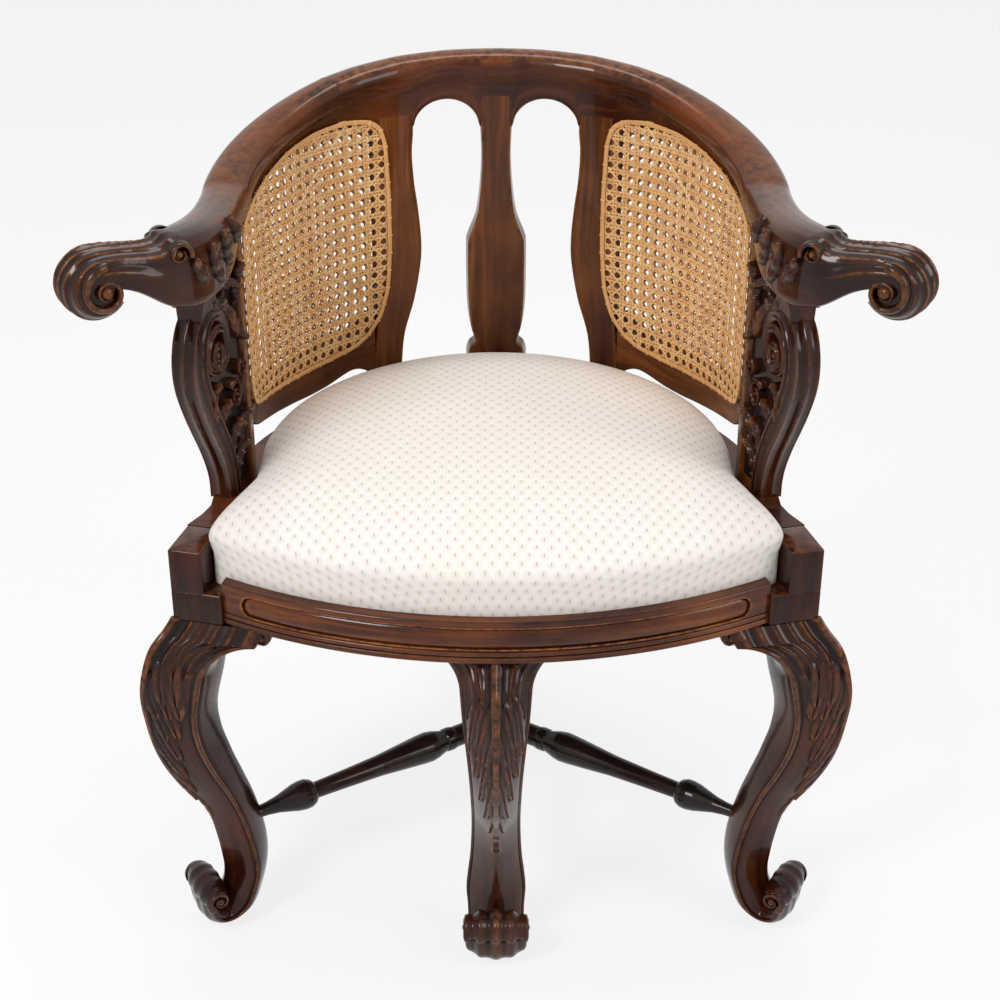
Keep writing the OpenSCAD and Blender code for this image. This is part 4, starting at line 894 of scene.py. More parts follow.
for side, name in ((-1, "left"), (1, "right")):
    upright("stile_front_" + name, [(z, *FRONT_STILE_AZ) for z in (0.0, 0.35, 0.712)], side)
    upright("stile_back_" + name, BACK_STILE_ROWS, side)
    panel_rail("panel_rail_" + name, side)
upright("splat", [(s, 180 - half, 180 + half) for s, half in SPLAT_ROWS], 1)


# Crest and arms

# Top of the crest, and its head's half width as a share: by azimuth
CREST_TOP = [(88, 0.846), (100, 0.872), (112, 0.900), (120, 0.920), (130, 0.946), (138, 0.966),
             (146, 0.980), (157, 0.993), (169, 0.999), (180, 1.000)]
CREST_HEAD = [(88, 1.30), (110, 1.24), (138, 1.10), (155, 1.0)]
ARM_LOW, CREST_STILE = 0.697, 0.788
ARCH_AZ, ARCH_HALF_AZ, ARCH_SPRING, ARCH_RISE = 12.45, 8.3, 0.788, 0.082


def crest_low(azimuth):
    """Underside of the crest and arms, with the arches beside the splat."""
    d = 180 - azimuth
    if azimuth < FRONT_STILE_AZ[1]:
        return ARM_LOW
    if d <= ARCH_AZ - ARCH_HALF_AZ:
        return ARCH_SPRING
    e = (d - ARCH_AZ) / ARCH_HALF_AZ
    if abs(e) < 1:
        return ARCH_SPRING + ARCH_RISE * math.sqrt(1 - e * e)
    if azimuth > BACK_STILE_AZ:
        return CREST_STILE
    return float(lookup(azimuth, CANE_TOP)) - CANE_LAP / BACK_H


def top_wear_highlight(grid):
    """1 along the top of each ring of a grid, fading out below it: where the wood is lightened as
    wear and painted highlight.
    """
    height = grid[..., 2]
    return np.exp(-((height.max(axis=1, keepdims=True) - height) / 0.010) ** 2)


def rail_ring(p, facing, pitch, half_h, low, head, count=112):
    """A ring of the rail's section at a point, which faces an azimuth and pitches up."""
    h = min(HEAD_H, 1.5 * half_h)
    half = [(0.75 * low, -half_h), (low, -0.88 * half_h), (low, half_h - h),
            (head, half_h - 0.62 * h), (0.95 * head, half_h - 0.28 * h),
            (0.7 * head, half_h - 0.08 * h), (0.25 * head, half_h)]
    ring = rounded_ring(half + [(-x, y) for x, y in reversed(half)], count, 0.0036)
    f, t = math.radians(facing), math.radians(pitch)
    q0, q1 = ring[:, 0], ring[:, 1]
    return np.stack([p[0] + q0 * math.cos(f) - q1 * math.sin(t) * math.sin(f),
                     p[1] + q0 * math.sin(f) + q1 * math.sin(t) * math.cos(f),
                     p[2] + q1 * math.cos(t)], axis=-1)


def crest_rows(azimuths):
    """Rows of the rail round the tub: place, facing, pitch and section."""
    top = np.interp(azimuths, *zip(*CREST_TOP))
    low = np.array([crest_low(a) for a in azimuths])
    head = HEAD_HALF * np.interp(azimuths, *zip(*CREST_HEAD))
    rows = []
    for azimuth, high, below, half in zip(azimuths, top, low, head):
        x, y, z = polar(TUB_R, azimuth, float(back_z((high + below) / 2)))
        rows.append((x, y, z, azimuth - 90, 0.0, (high - below) / 2 * BACK_H, TUB_T / 2, half))
    return np.array(rows)


def make_crest():
    """The crest, swept in one go from scarf to scarf."""
    right = np.concatenate([np.arange(SCARF_AZ, 159.5, 0.5), np.arange(159.5, 180, 0.2)])
    rows = crest_rows(np.concatenate([right, [180]]))
    left = rows[:-1][::-1].copy()
    left[:, 0] *= -1
    left[:, 3] = 180 - left[:, 3]
    rows = np.concatenate([rows, left])
    rows[:, [2, 5]] = softened(rows[:, [2, 5]], 2, False)
    grid = np.array([rail_ring(r[:3], *r[3:]) for r in rows])
    piece = Piece("crest_rail_shaped")
    # Wear and painted highlight along the crest's top.
    piece.grid(grid, 0.5 + 0.30 * top_wear_highlight(grid))
    return piece.build(MAHOGANY, "frame", "mahogany", replaces=["crest_rail"])


make_crest()

# The arm's flare, its neck and its scroll. The flare's rows: share of its way, top and underside
# as shares of the back's height, then half widths below and at the head; the neck's: share of
# the way to the scroll, and rise and half height over the scroll's radius
FLARE_START = polar(TUB_R, 90)[:2]
FLARE_END = polar(ARM_REACH, BLOCK_AZ)[:2]
FLARE_LONG = (FLARE_END[0] - TUB_R) / math.tan(math.radians(BLOCK_AZ))
FLARE_BEND = np.array([TUB_R, FLARE_END[1] + FLARE_LONG])
FLARE_ROWS = [
    (0.14, 0.848, 0.697, 0.48, 0.80), (0.28, 0.852, 0.697, 0.62, 0.82),
    (0.44, 0.860, 0.697, 0.76, 0.85), (0.60, 0.868, 0.697, 0.84, 0.88),
    (0.76, 0.874, 0.699, 0.90, 0.90), (0.90, 0.877, 0.712, 0.94, 0.94)]
NECK_ROWS = [(0.00, 0.10, 1.62), (0.42, 0.66, 1.16), (0.74, 0.94, 0.98)]
SCROLL_TURNS = [0, 30, 60, 90, 120, 150, 180, 210, 232]


def arm_rows():
    """Rows of the right arm from the scarf to the end of its scroll."""
    round_tub = crest_rows(np.arange(SCARF_AZ, 91.5, -1.0))
    start = crest_rows(np.array([92, 88.5]))
    rows = list(start)
    for t, top, low, below, head in FLARE_ROWS:
        x, y = FLARE_START * (1 - t) ** 2 + FLARE_BEND * 2 * t * (1 - t) + FLARE_END * t * t
        dx, dy = (FLARE_BEND - FLARE_START) * (1 - t) + (FLARE_END - FLARE_BEND) * t
        rows.append((x, y, float(back_z((top + low) / 2)), math.degrees(math.atan2(dx, -dy)), 0,
                     (top - low) / 2 * BACK_H, below * VOLUTE_HALF, head * VOLUTE_HALF))
    for s, rise, half in NECK_ROWS:
        x, y, z = polar(ARM_REACH + (VOLUTE_REACH - ARM_REACH) * s, BLOCK_AZ,
                        VOLUTE_Z + rise * VOLUTE_TURN)
        rows.append((x, y, z, BLOCK_AZ, 0, half * VOLUTE_TURN, VOLUTE_HALF, VOLUTE_HALF))
    for t in SCROLL_TURNS:
        a = math.radians(t)
        x, y, z = polar(VOLUTE_REACH + VOLUTE_TURN * math.sin(a), BLOCK_AZ,
                        VOLUTE_Z + VOLUTE_TURN * math.cos(a))
        half = VOLUTE_HALF - 0.005 * min(1, t / 60 + 0.3)
        rows.append((x, y, z, BLOCK_AZ, -t, 0.93 * VOLUTE_TURN, half, half))
    return np.concatenate([round_tub[:-1], curve(rows, 14)])


REED_START = 0.328


def farthest(rows):
    """The greatest distance from the tub's axis that the rail has had up to each row."""
    return np.maximum.accumulate(np.linalg.norm(rows[:, :2] + [0, TUB_FORWARD], axis=1)[:, None])


def arm_reeds(grid, rows):
    """Heights of the reeds that run over the arm's end and round its scroll."""
    facing, pitch = np.radians(rows[:, 3]), np.radians(rows[:, 4])
    lateral = np.stack([np.cos(facing), np.sin(facing), 0 * facing], axis=-1)
    centre = rows[:, None, :3]
    across = np.sum((grid - centre) * lateral[:, None], axis=-1)
    outward = np.stack([-np.sin(pitch) * np.sin(facing), np.sin(pitch) * np.cos(facing),
                        np.cos(pitch)], axis=-1)
    above = np.sum((grid - centre) * outward[:, None], axis=-1)
    on_top = np.clip(above / (0.35 * rows[:, 5:6]) - 0.2, 0, 1)
    start = np.clip((farthest(rows) - REED_START) / 0.030, 0, 1)
    flute = np.abs(np.sin(across / VOLUTE_HALF * 2.5 * math.pi)) ** 0.7
    return -0.0030 * flute * on_top * start


# The small scroll on the arm's top edge
CURL_AT, CURL_DEPTH = np.array([0.330, 0.744]), 0.0235
VOLUTE_EYE, VOLUTE_DEPTH = (VOLUTE_REACH - 0.004, VOLUTE_Z - 0.001), VOLUTE_HALF - 0.0062


def volute_side(piece, side, mirror):
    """The spirals on one face of an arm's scroll, with their eyes."""
    def surface(flat, depth):
        origin = (0, -TUB_FORWARD, 0)
        return mirrored(upright_plane(origin, BLOCK_AZ, *flat.T, side * depth), mirror)

    flip = side * mirror < 0
    scroll(piece, surface, flip, (VOLUTE_EYE, 0.0228, 100, -533, 0.42, 150), 0.25,
           0.0072 * tapered(150, 0.05, 0.01, 0.5), (0.0072, 0.0072), (VOLUTE_DEPTH, VOLUTE_DEPTH),
           tint=1.0)
    scroll(piece, surface, flip, (CURL_AT, 0.0115, 200, -430, 0.42, 90), 0.28, 0.0050,
           (0.0036, 0.0050), (CURL_DEPTH, CURL_DEPTH), tint=1.0)


# Leaves on an arm's inner side: y and height of the root and of the tip, and half width
ARM_LEAVES = [
    ((-0.178, 0.700), (-0.200, 0.738), 0.0105), ((-0.155, 0.698), (-0.176, 0.742), 0.0115),
    ((-0.128, 0.704), (-0.150, 0.744), 0.0110), ((-0.096, 0.714), (-0.120, 0.745), 0.0090)]


def inner_face(grid, y, z):
    """The point of the arm's inner side nearest a place, and its normal."""
    away = grid - grid.mean(axis=1, keepdims=True)
    outer = np.sum(away[..., :2] * grid[..., :2], axis=-1) > 0
    off = (grid[..., 1] - y) ** 2 + (grid[..., 2] - z) ** 2 + outer
    i, j = np.unravel_index(np.argmin(off), off.shape)
    normal = grid_normals(grid)[i, j]
    return grid[i, j], normal * np.sign(normal @ away[i, j])


def arm_leaves(piece, grid, mirror):
    """Lobed leaves laid on the arm's inner side."""
    for root, tip, width in ARM_LEAVES:
        places = np.linspace(root, tip, 9)
        path = [np.concatenate(inner_face(grid, *place)) for place in places]
        path = softened(curve(np.array(path), 3)[:, None], 5, False)[:, 0]
        made, relief = leaf(mirrored(path[:, :3], mirror), mirrored(path[:, 3:], mirror),
                            width, 0.0064, lobes=3, curl=0.12, base=0.0030)
        piece.grid(made, relief, closed=False, flip=mirror > 0, tint=0.9)


def make_arm(name, mirror):
    """An arm from its scarf in the crest to its reeded scroll, darker toward the front."""
    rows = arm_rows()
    grid = np.array([rail_ring(r[:3], *r[3:], count=160) for r in rows])
    height = arm_reeds(grid, rows)
    carved = raised(grid, height, grid - rows[:, None, :3])
    piece = Piece(name + "_carved")
    dark = 0.5 + 0.5 * np.clip((farthest(rows) - TUB_R) / 0.09, 0, 1)
    # Wear and painted highlight along the arm's top, fading toward the front.
    worn_highlight = top_wear_highlight(grid) * (1 - 2 * (dark - 0.5))
    piece.grid(mirrored(carved, mirror), relief_of(height, 0.002) + 0.20 * worn_highlight, tint=dark)
    for side in (-1, 1):
        volute_side(piece, side, mirror)
    arm_leaves(piece, grid, mirror)
    return piece.build(MAHOGANY, "frame", "mahogany", replaces=[name])


for name, side in (("arm_right", 1), ("arm_left", -1)):
    make_arm(name, side)


# Arm supports

SUPPORT_AZ, SUPPORT_ACROSS = 16.0, 0.46
SCOOP_Y = -TUB_FORWARD - TUB_R * math.sin(math.radians(90 - FRONT_STILE_AZ[0]))
SUPPORT_X = TUB_IN + TUB_T * (1 - SUPPORT_ACROSS) / 2
SUPPORT_AT = np.array([SUPPORT_X, SCOOP_Y + 0.4 * POST_W, BLOCK_TOP])
# Rows of the post from its foot, over its top and round its scroll: reach and height as
# shares of the support's, with half width and half thickness in metres
POST_ROWS = [
    (0.412, 0.000, 0.0136, 0.0150), (0.425, 0.080, 0.0126, 0.0150), (0.462, 0.160, 0.0122, 0.0155),
    (0.545, 0.270, 0.0128, 0.0160), (0.650, 0.380, 0.0136, 0.0160), (0.745, 0.490, 0.0146, 0.0160),
    (0.815, 0.590, 0.0152, 0.0160), (0.835, 0.675, 0.0152, 0.0160), (0.805, 0.755, 0.0142, 0.0160),
    (0.725, 0.820, 0.0126, 0.0158), (0.610, 0.845, 0.0110, 0.0154), (0.490, 0.822, 0.0096, 0.0148),
    (0.408, 0.765, 0.0082, 0.0142), (0.380, 0.690, 0.0070, 0.0138), (0.415, 0.620, 0.0062, 0.0136),
    (0.495, 0.585, 0.0055, 0.0136), (0.570, 0.600, 0.0050, 0.0136), (0.600, 0.650, 0.0045, 0.0136),
    (0.570, 0.690, 0.0040, 0.0134), (0.525, 0.680, 0.0034, 0.0130)]
# Height and reach of the edge of the near-black sheet behind the post, which is painted shade, as
# shares of the support's
WEB_ROWS = [(0.00, 0.40), (0.10, 0.42), (0.26, 0.53), (0.48, 0.74), (0.66, 0.80), (0.76, 0.76),
            (0.84, 0.62), (0.90, 0.66), (1.00, 0.66)]
WEB_T = 0.009
# Reach of the neck, and its sections' heights as shares of the support's, with their half width
# and half thickness
NECK_AT = 0.69 * SUPPORT_REACH
NECK_SECTIONS = [(0.82, 0.012, 0.012), (0.90, 0.0125, 0.013), (0.905, 0.0155, 0.0155),
                 (0.93, 0.0160, 0.0160), (0.935, 0.0135, 0.0140), (1.0, 0.0135, 0.0140)]


def support_point(x, z, across):
    """A point of the support's upright plane, in metres of reach, height and offset."""
    return upright_plane(SUPPORT_AT, SUPPORT_AZ, x, z, across)


def evenly(rows, count):
    """Points at even distances along a smooth curve through rows."""
    p = curve(rows, 12)
    along = np.concatenate([[0], np.cumsum(np.linalg.norm(np.diff(p, axis=0), axis=1))])
    at = np.linspace(0, along[-1], count)
    return np.stack([np.interp(at, along, p[:, i]) for i in range(p.shape[1])], axis=-1)


def support_post(piece, mirror):
    """The fluted post, which curls over at its top and ends in a scroll."""
    rows = evenly(np.array(POST_ROWS) * [SUPPORT_REACH, SUPPORT_H, 1, 1], 230)
    middle, half, thick = rows[:, :2], rows[:, 2:3], rows[:, 3:4]
    along = unit(np.gradient(middle, axis=0))
    turns = np.radians(np.arange(0, 360, 2.5))
    c, s = np.cos(turns), np.sin(turns)
    m = (np.abs(c) ** 3 + np.abs(s) ** 3) ** (1 / 3)
    x = middle[:, :1] + half * (c / m) * along[:, 1:]
    z = middle[:, 1:] - half * (c / m) * along[:, :1]
    grid = support_point(x, z, thick * s / m)
    centre = support_point(middle[:, :1], middle[:, 1:], 0.0)
    flute = np.abs(np.sin(turns * 4.5)) ** 0.7 * (np.cos(turns) > -0.35)
    height = -0.19 * half * flute[None]
    carved = raised(grid, height, grid - centre)
    piece.grid(mirrored(carved, mirror), relief_of(height, 0.0022))


def support_web(piece, mirror):
    """A thin near-black sheet between the post and the stile, painted shade behind the leaves, and
    the neck under the arm.
    """
    shares = np.linspace(0.0, 1.0, 70)
    outer = lookup(shares, WEB_ROWS) * SUPPORT_REACH
    rings = []
    for share, edge in zip(shares, outer):
        ring = rounded_bar(edge - 0.003, WEB_T, 0.003)
        rings.append(support_point(ring[:, 0] + (edge + 0.003) / 2, share * SUPPORT_H, ring[:, 1]))
    # Painted shade: the sheet's relief is so low that the wood paints it near black.
    piece.grid(mirrored(np.array(rings), mirror), 0.02)
    rings = []
    for share, half, thick in NECK_SECTIONS:
        ring = rounded_bar(2 * half, 2 * thick, 0.002)
        rings.append(support_point(ring[:, 0] + NECK_AT, share * SUPPORT_H, ring[:, 1]))
    piece.grid(mirrored(np.array(rings), mirror), 0.45)


# Ornament of the support: spines in millimetres of reach and height above the block, each
# with its half width and its lobes
SUPPORT_LEAVES = [
    ([(112, 150), (108, 176), (92, 196), (70, 203), (50, 196), (38, 178), (34, 158)], 13.0, 7),
    ([(50, 10), (60, 34), (75, 62), (89, 92), (97, 122)], 10.5, 7),
    ([(54, 26), (52, 46), (45, 62), (36, 74)], 8.5, 4),
    ([(76, 56), (74, 76), (68, 92), (60, 104)], 8.5, 4),
    ([(90, 84), (89, 104), (85, 120), (80, 130)], 7.5, 4),
    ([(46, 6), (42, 22), (34, 36), (24, 46)], 8.0, 4),
    ([(34, 40), (28, 56), (20, 68), (12, 74)], 7.5, 3),
    ([(40, 176), (28, 172), (18, 160), (12, 146)], 8.5, 4),
    ([(60, 204), (46, 212), (32, 212), (18, 202)], 8.5, 4),
    ([(24, 186), (18, 200), (14, 212), (12, 226)], 8.0, 4)]
# Its scrolls: centre, radius, start and turn in degrees
SUPPORT_SCROLLS = [((77, 156), 27, 128, -600), ((40, 100), 15, 40, 500), ((22, 122), 10, 60, -430)]


def support_panel(piece, mirror):
    """The leaves and scrolls behind the post, alike on both faces."""
    for face in (-1, 1):
        def surface(flat, depth, face=face):
            return mirrored(support_point(*flat.T, face * depth), mirror)

        flip = face * mirror > 0
        for centre, radius, start, turn in SUPPORT_SCROLLS:
            turns = (np.array(centre) / 1000, radius / 1000, start, turn, 0.42, 120)
            scroll(piece, surface, flip, turns, 0.27, 0.0095, (0.00018 * radius, 0.0090),
                   (0.004, 0.005), base=0.006, groove=0.3)
        for spine, width, lobes in SUPPORT_LEAVES:
            path = surface(evenly(spine, 44) / 1000, 0.0045)
            grid, relief = leaf(path, outward_of(surface), width / 1000, 0.0095, lobes, base=0.006)
            piece.grid(grid, relief, closed=False, flip=flip)


def make_support(name, mirror):
    """An arm's carved support: a near-black sheet of painted shade behind it, its post and its
    ornament.
    """
    piece = Piece(name + "_carved")
    support_web(piece, mirror)
    support_post(piece, mirror)
    support_panel(piece, mirror)
    return piece.build(CARVED, "frame", "dark_mahogany", replaces=[name])


for name, side in (("arm_support_right", 1), ("arm_support_left", -1)):
    make_support(name, side)


# Cane

CANE_PITCH, CANE_STEP, PAIR_HALF, PAIRS = 0.0122, 0.0024, 0.00175, 29
WEAVE_AZ, FIRST_AZ = (89.2, 152.3), 88.6
STRAND_ACROSS = 0.00110 * np.array([-1.0, -0.55, 0.55, 1.0])[:, None]
STRAND_RISE = np.array([-0.0002, 0.00012, 0.00012, -0.0002])[:, None]
FRONT_CANE_R = TUB_IN - LIE_GAP - CANE_T
BACK_CANE_R = TUB_OUT + LIE_GAP
# Metres for each degree and each metre of a panel that is rolled out flat
PANEL_SCALE = np.array([math.radians(1) * TUB_R, 1.0])


def in_panel(azimuth, z):
    """Whether places lie on the sheet of cane, 1 mm inside its edges."""
    low, top = back_z(lookup(azimuth, CANE_LOW)), back_z(lookup(azimuth, CANE_TOP))
    first, last = WEAVE_AZ
    return (azimuth > first) & (azimuth < last) & (z > low + 0.001) & (z < top - 0.001)


def radial(azimuth):
    """Directions straight away from the tub's axis."""
    return unit(polar(1.0, azimuth) - polar(0.0, azimuth))


def strand(piece, azimuth, z, radius, outward, tint, mirror):
    """The stretches of one strand that lie inside the panel."""
    inside = in_panel(azimuth, z)
    edges = np.flatnonzero(np.diff(np.concatenate([[0], inside.astype(int), [0]])))
    for first, last in zip(edges[::2], edges[1::2]):
        if last - first < 3:
            continue
        az, height = azimuth[first:last], z[first:last]
        path = polar(radius, az, height)
        normal = radial(az) * outward
        side = unit(np.cross(normal, np.gradient(path, axis=0)))
        grid = path[:, None] + side[:, None] * STRAND_ACROSS + normal[:, None] * STRAND_RISE
        piece.grid(mirrored(grid, mirror), closed=False, tint=tint, flip=outward * mirror < 0)


def weave(piece, radius, outward, mirror, seed):
    """Pairs up and across, and one strand on each diagonal between the crossings."""
    random = np.random.default_rng(seed)
    degrees, pair = math.degrees(CANE_PITCH / radius), math.degrees(PAIR_HALF / radius)
    z_low, z_high = float(back_z(0.16)), float(back_z(0.88))
    heights = np.arange(z_low, z_high, CANE_STEP)
    azimuths = np.arange(88, 154, math.degrees(CANE_STEP / radius))

    def lay(azimuth, height, above):
        tint = float(np.clip(random.normal(0.55, 0.2), 0, 1))
        azimuth, height = np.broadcast_arrays(azimuth, height)
        strand(piece, azimuth, height, radius + outward * above, outward, tint, mirror)

    for k in range(PAIRS):
        for offset in (-pair, pair):
            lay(FIRST_AZ + k * degrees + offset + random.normal(0, 0.03), heights, 0.0002)
    for k in range(PAIRS):
        for offset in (-PAIR_HALF, PAIR_HALF):
            lay(azimuths, z_low + k * CANE_PITCH + offset + random.normal(0, 0.0001), 0.0005)
    for direction in (-1, 1):
        climb = direction * (azimuths - FIRST_AZ) / degrees * CANE_PITCH
        for k in range(-60, 60):
            height = z_low + (k + 0.5) * CANE_PITCH + climb
            if np.any((height > z_low) & (height < z_high)):
                lay(azimuths, height, 0.0008 + 0.00015 * direction)


def panel_outline(count):
    """Azimuths and heights once round a caned panel, evenly spaced."""
    azimuths = np.unique([*np.linspace(89, 152.4, 60), 89.25, 151.2, 151.8, 152.1])
    low = np.stack([azimuths, back_z(lookup(azimuths, CANE_LOW))], -1)
    top = np.stack([azimuths, back_z(lookup(azimuths, CANE_TOP))], -1)[::-1]
    return rounded_ring(np.concatenate([low, top]) * PANEL_SCALE, count, 0.006) / PANEL_SCALE


def binding(piece, radius, outward, mirror):
    """A flat cane laid round the panel's edge, held down by small loops."""
    loop = panel_outline(240)
    inward = unit((np.roll(loop, -1, 0) - np.roll(loop, 1, 0)) * PANEL_SCALE)[:, ::-1] * [-1, 1]
    to_middle = (loop.mean(axis=0) - loop) * PANEL_SCALE
    inward = inward * np.sign(np.sum(inward * to_middle, axis=1))[:, None]
    q = np.linspace(-1, 1, 7)
    flat = loop[:, None] + inward[:, None] * (BINDING_W / 2 * (1 + q))[:, None] / PANEL_SCALE
    rise = 0.0011 + 0.0007 * np.sqrt(np.clip(1 - np.abs(q) ** 3, 0, 1))
    grid = polar(radius + outward * rise[None], flat[..., 0], flat[..., 1])
    piece.grid(mirrored(grid, mirror), closed=False, loop=True, tint=0.35,
               flip=mirror * outward < 0)
    q = np.linspace(-1, 1, 9)
    lift = radius + outward * (0.0016 + 0.0006 * np.sqrt(np.clip(1 - q**4, 0, 1)))
    for middle, way in zip(loop[::5], inward[::5]):
        across = middle + way * (BINDING_W * (0.5 + 0.6 * q))[:, None] / PANEL_SCALE
        path, normal = polar(lift, across[:, 0], across[:, 1]), radial(across[:, 0]) * outward
        grid, _ = ribbon(mirrored(path, mirror), mirrored(normal, mirror), 0.0009, 0.0004,
                         base=0.0004, count=5)
        piece.grid(grid, closed=False, tint=0.6)


def make_cane(name, side):
    """A panel's two layers of weave, and the binding round the inner one."""
    front, back = Piece("cane_front_%s_woven" % name), Piece("cane_back_%s_woven" % name)
    weave(front, FRONT_CANE_R + CANE_T, -1, side, 11)
    weave(back, BACK_CANE_R, 1, side, 23)
    edge = Piece("binding_%s_laid" % name)
    binding(edge, FRONT_CANE_R, -1, side)
    for piece, kind in ((front, "cane_front_"), (back, "cane_back_"), (edge, "binding_")):
        piece.build(CANE, "frame", "cane", replaces=[kind + name])


for name, side in (("left", -1), ("right", 1)):
    make_cane(name, side)


# Seat

SEAT_R = RAIL_OUT - 0.050 + LEDGE_W - SEAT_GAP
FLARE_Y = -TUB_FORWARD - RAIL_OUT * FLARE_SHARE
CUSHION_PUFF, CUSHION_EDGE, CROWN_H = 0.006, 0.006, 0.046


def block_point(x, y):
    """A point of the right corner block's plan, seen in the chair's plan."""
    return rotated(np.array([x, y, 0.0]), BLOCK_AZ - 45)[:2] + [SIDE_X, SIDE_Y]


def meet_bow(start, through, radius):
    """Where a line in plan meets a circle about the bow's centre, beyond its second point."""
    way = unit(through - start)
    w = start - [0, BOW_Y]
    b = way @ w
    return start + way * (math.sqrt(b * b - (w @ w - radius * radius)) - b)


def seat_outline(puff, bow=BOW_R - FRONT_LIP - SEAT_GAP, radius=SEAT_R):
    """The seat's edge from the middle of the front round to the back and again."""
    inner = STEP_W - BLOCK_W / 2 - SEAT_GAP + puff
    bow = bow + puff
    back_corner = block_point(inner, BLOCK_W / 2)
    front_corner = meet_bow(back_corner, block_point(inner, 0), bow)
    turn = math.asin(front_corner[0] / bow)
    a = np.linspace(0, turn, 30)[:-1]
    right = [np.stack([bow * np.sin(a), BOW_Y - bow * np.cos(a)], -1), front_corner[None],
             back_corner[None], np.array([[radius, FLARE_Y]]),
             polar(radius, np.linspace(90, 180, 40))[:, :2]]
    right = np.concatenate(right)
    return np.concatenate([right, (right[1:-1] * [-1, 1])[::-1]])


CLOTH_SHIFT = np.array([0.0034, 0.0046, 0.0])
SEAT_MIDDLE = np.array([0.0, -TUB_FORWARD])
COVER_BASE, COVER_RIM, COVER_POINTS = LEDGE_Z + 0.0004, BLOCK_TOP + CUSHION_EDGE, 360
# The cover's sides: share of the swell, height, share drawn in and rounding of the corners
COVER_ROWS = [
    (0.0, COVER_BASE, 0.0, 0.004), (0.0, COVER_BASE + 0.006, 0.0, 0.004),
    (0.0, BLOCK_TOP - 0.012, 0.0, 0.005), (0.25, BLOCK_TOP - 0.001, 0.0, 0.006),
    (0.75, BLOCK_TOP + 0.0028, 0.0, 0.008), (1.0, COVER_RIM - 0.0008, 0.004, 0.010)]
# The cover's dome: share drawn in to the middle and share of the crown's height
DOME_ROWS = [
    (0.004, 0.0), (0.012, 0.13), (0.030, 0.25), (0.07, 0.39), (0.12, 0.51), (0.20, 0.65),
    (0.30, 0.77), (0.40, 0.86), (0.55, 0.935), (0.70, 0.975), (0.85, 0.994), (0.992, 1.0)]


def cover_ring(puff, z, drawn, radius):
    """A level ring of the cover, drawn in to the middle by a share."""
    ring = rounded_ring(seat_outline(puff * CUSHION_PUFF), COVER_POINTS, radius)
    return level(ring + (SEAT_MIDDLE - ring) * drawn, z)


def cover_grid():
    """The cover as rings from the ledge to the middle of the crown, with its ripples."""
    rows = [*curve(COVER_ROWS, 5)]
    rows += [(1.0, COVER_RIM + rise * CROWN_H, drawn, 0.010 + 0.05 * drawn)
             for drawn, rise in curve(DOME_ROWS, 6)[1:]]
    grid = np.array([cover_ring(*row) for row in rows])
    row = np.arange(len(grid))[:, None, None]
    near = np.clip((row - 8) / 6, 0, 1) * np.clip((len(grid) - 30 - row) / 12, 0, 1)
    grid = grid + (softened(grid, 50, False) - grid) * near
    around = np.linspace(0, 2 * math.pi, COVER_POINTS, endpoint=False)[None]
    near_rim = np.exp(-((row[..., 0] - 24) / 9.0) ** 2)
    grid[..., 2] += near_rim * (0.0004 * np.sin(around * 23) + 0.0003 * np.sin(around * 41 + 1.3))
    return grid


def make_cushion():
    """The crowned seat: its cover is drawn in at the ledge, swells and domes to the middle."""
    grid = cover_grid()
    step = np.linalg.norm(np.diff(grid, axis=0), axis=-1)
    from_top = np.concatenate([np.cumsum(step[::-1], axis=0)[::-1], np.zeros((1, COVER_POINTS))])
    away = np.insert(unit(grid[..., :2] - SEAT_MIDDLE), 2, 0.0, axis=-1)
    piece = Piece("cushion_covered")
    piece.grid(grid, grain=away * from_top[..., None] + CLOTH_SHIFT)
    cushion = piece.build(CLOTH, "seat", "seat_cover", replaces=["cushion"], sharp=80)


make_cushion()


# Front rail

# The sunk panel on its face, and the points up the face
SUNK_LONG, SUNK_HIGH, SUNK_DEEP, SUNK_MIDDLE = 0.2475, 0.0215, 0.0050, 0.0262
FACE_POINTS = 96
FRONT_WOOD = wood("front_rail_mahogany", (0.018, 0.004, 0.002), (0.085, 0.018, 0.005),
                  (0.24, 0.068, 0.012), (0.42, 0.16, 0.035), gloss=0.17)


def rail_end(radius):
    """The turn about the bow's centre where a circle meets the corner block."""
    hit = meet_bow(block_point(-BLOCK_W / 2, BLOCK_W / 2), block_point(-BLOCK_W / 2, 0), radius)
    return math.asin(hit[0] / radius)


def front_profile(x, z):
    """Heights on the rail's face: a sunk panel with a swell, a bead below and a fillet above."""
    middle = LEG_H + SUNK_MIDDLE
    radius = SUNK_HIGH / 2
    from_line = np.hypot(np.maximum(np.abs(x) - (SUNK_LONG - radius), 0), z - middle)
    inside = radius - from_line
    share = np.clip(inside / radius, 0, 1)
    swell = -SUNK_DEEP + (SUNK_DEEP + 0.0012) * np.sqrt(np.clip(1 - (1 - share) ** 2.4, 0, 1))
    height = np.where(inside > 0, swell, 0.0)
    for groove, depth in ((0.0068, 0.0020), (0.0128, 0.0016)):
        height = height - depth * np.exp(-((z - LEG_H - groove) / 0.0008) ** 2)
    height = height - 0.0012 * np.clip(1 - (z - LEG_H) / 0.0016, 0, 1) ** 2
    return height - 0.0014 * np.clip(1 - (RAIL_TOP - z) / 0.0018, 0, 1) ** 2


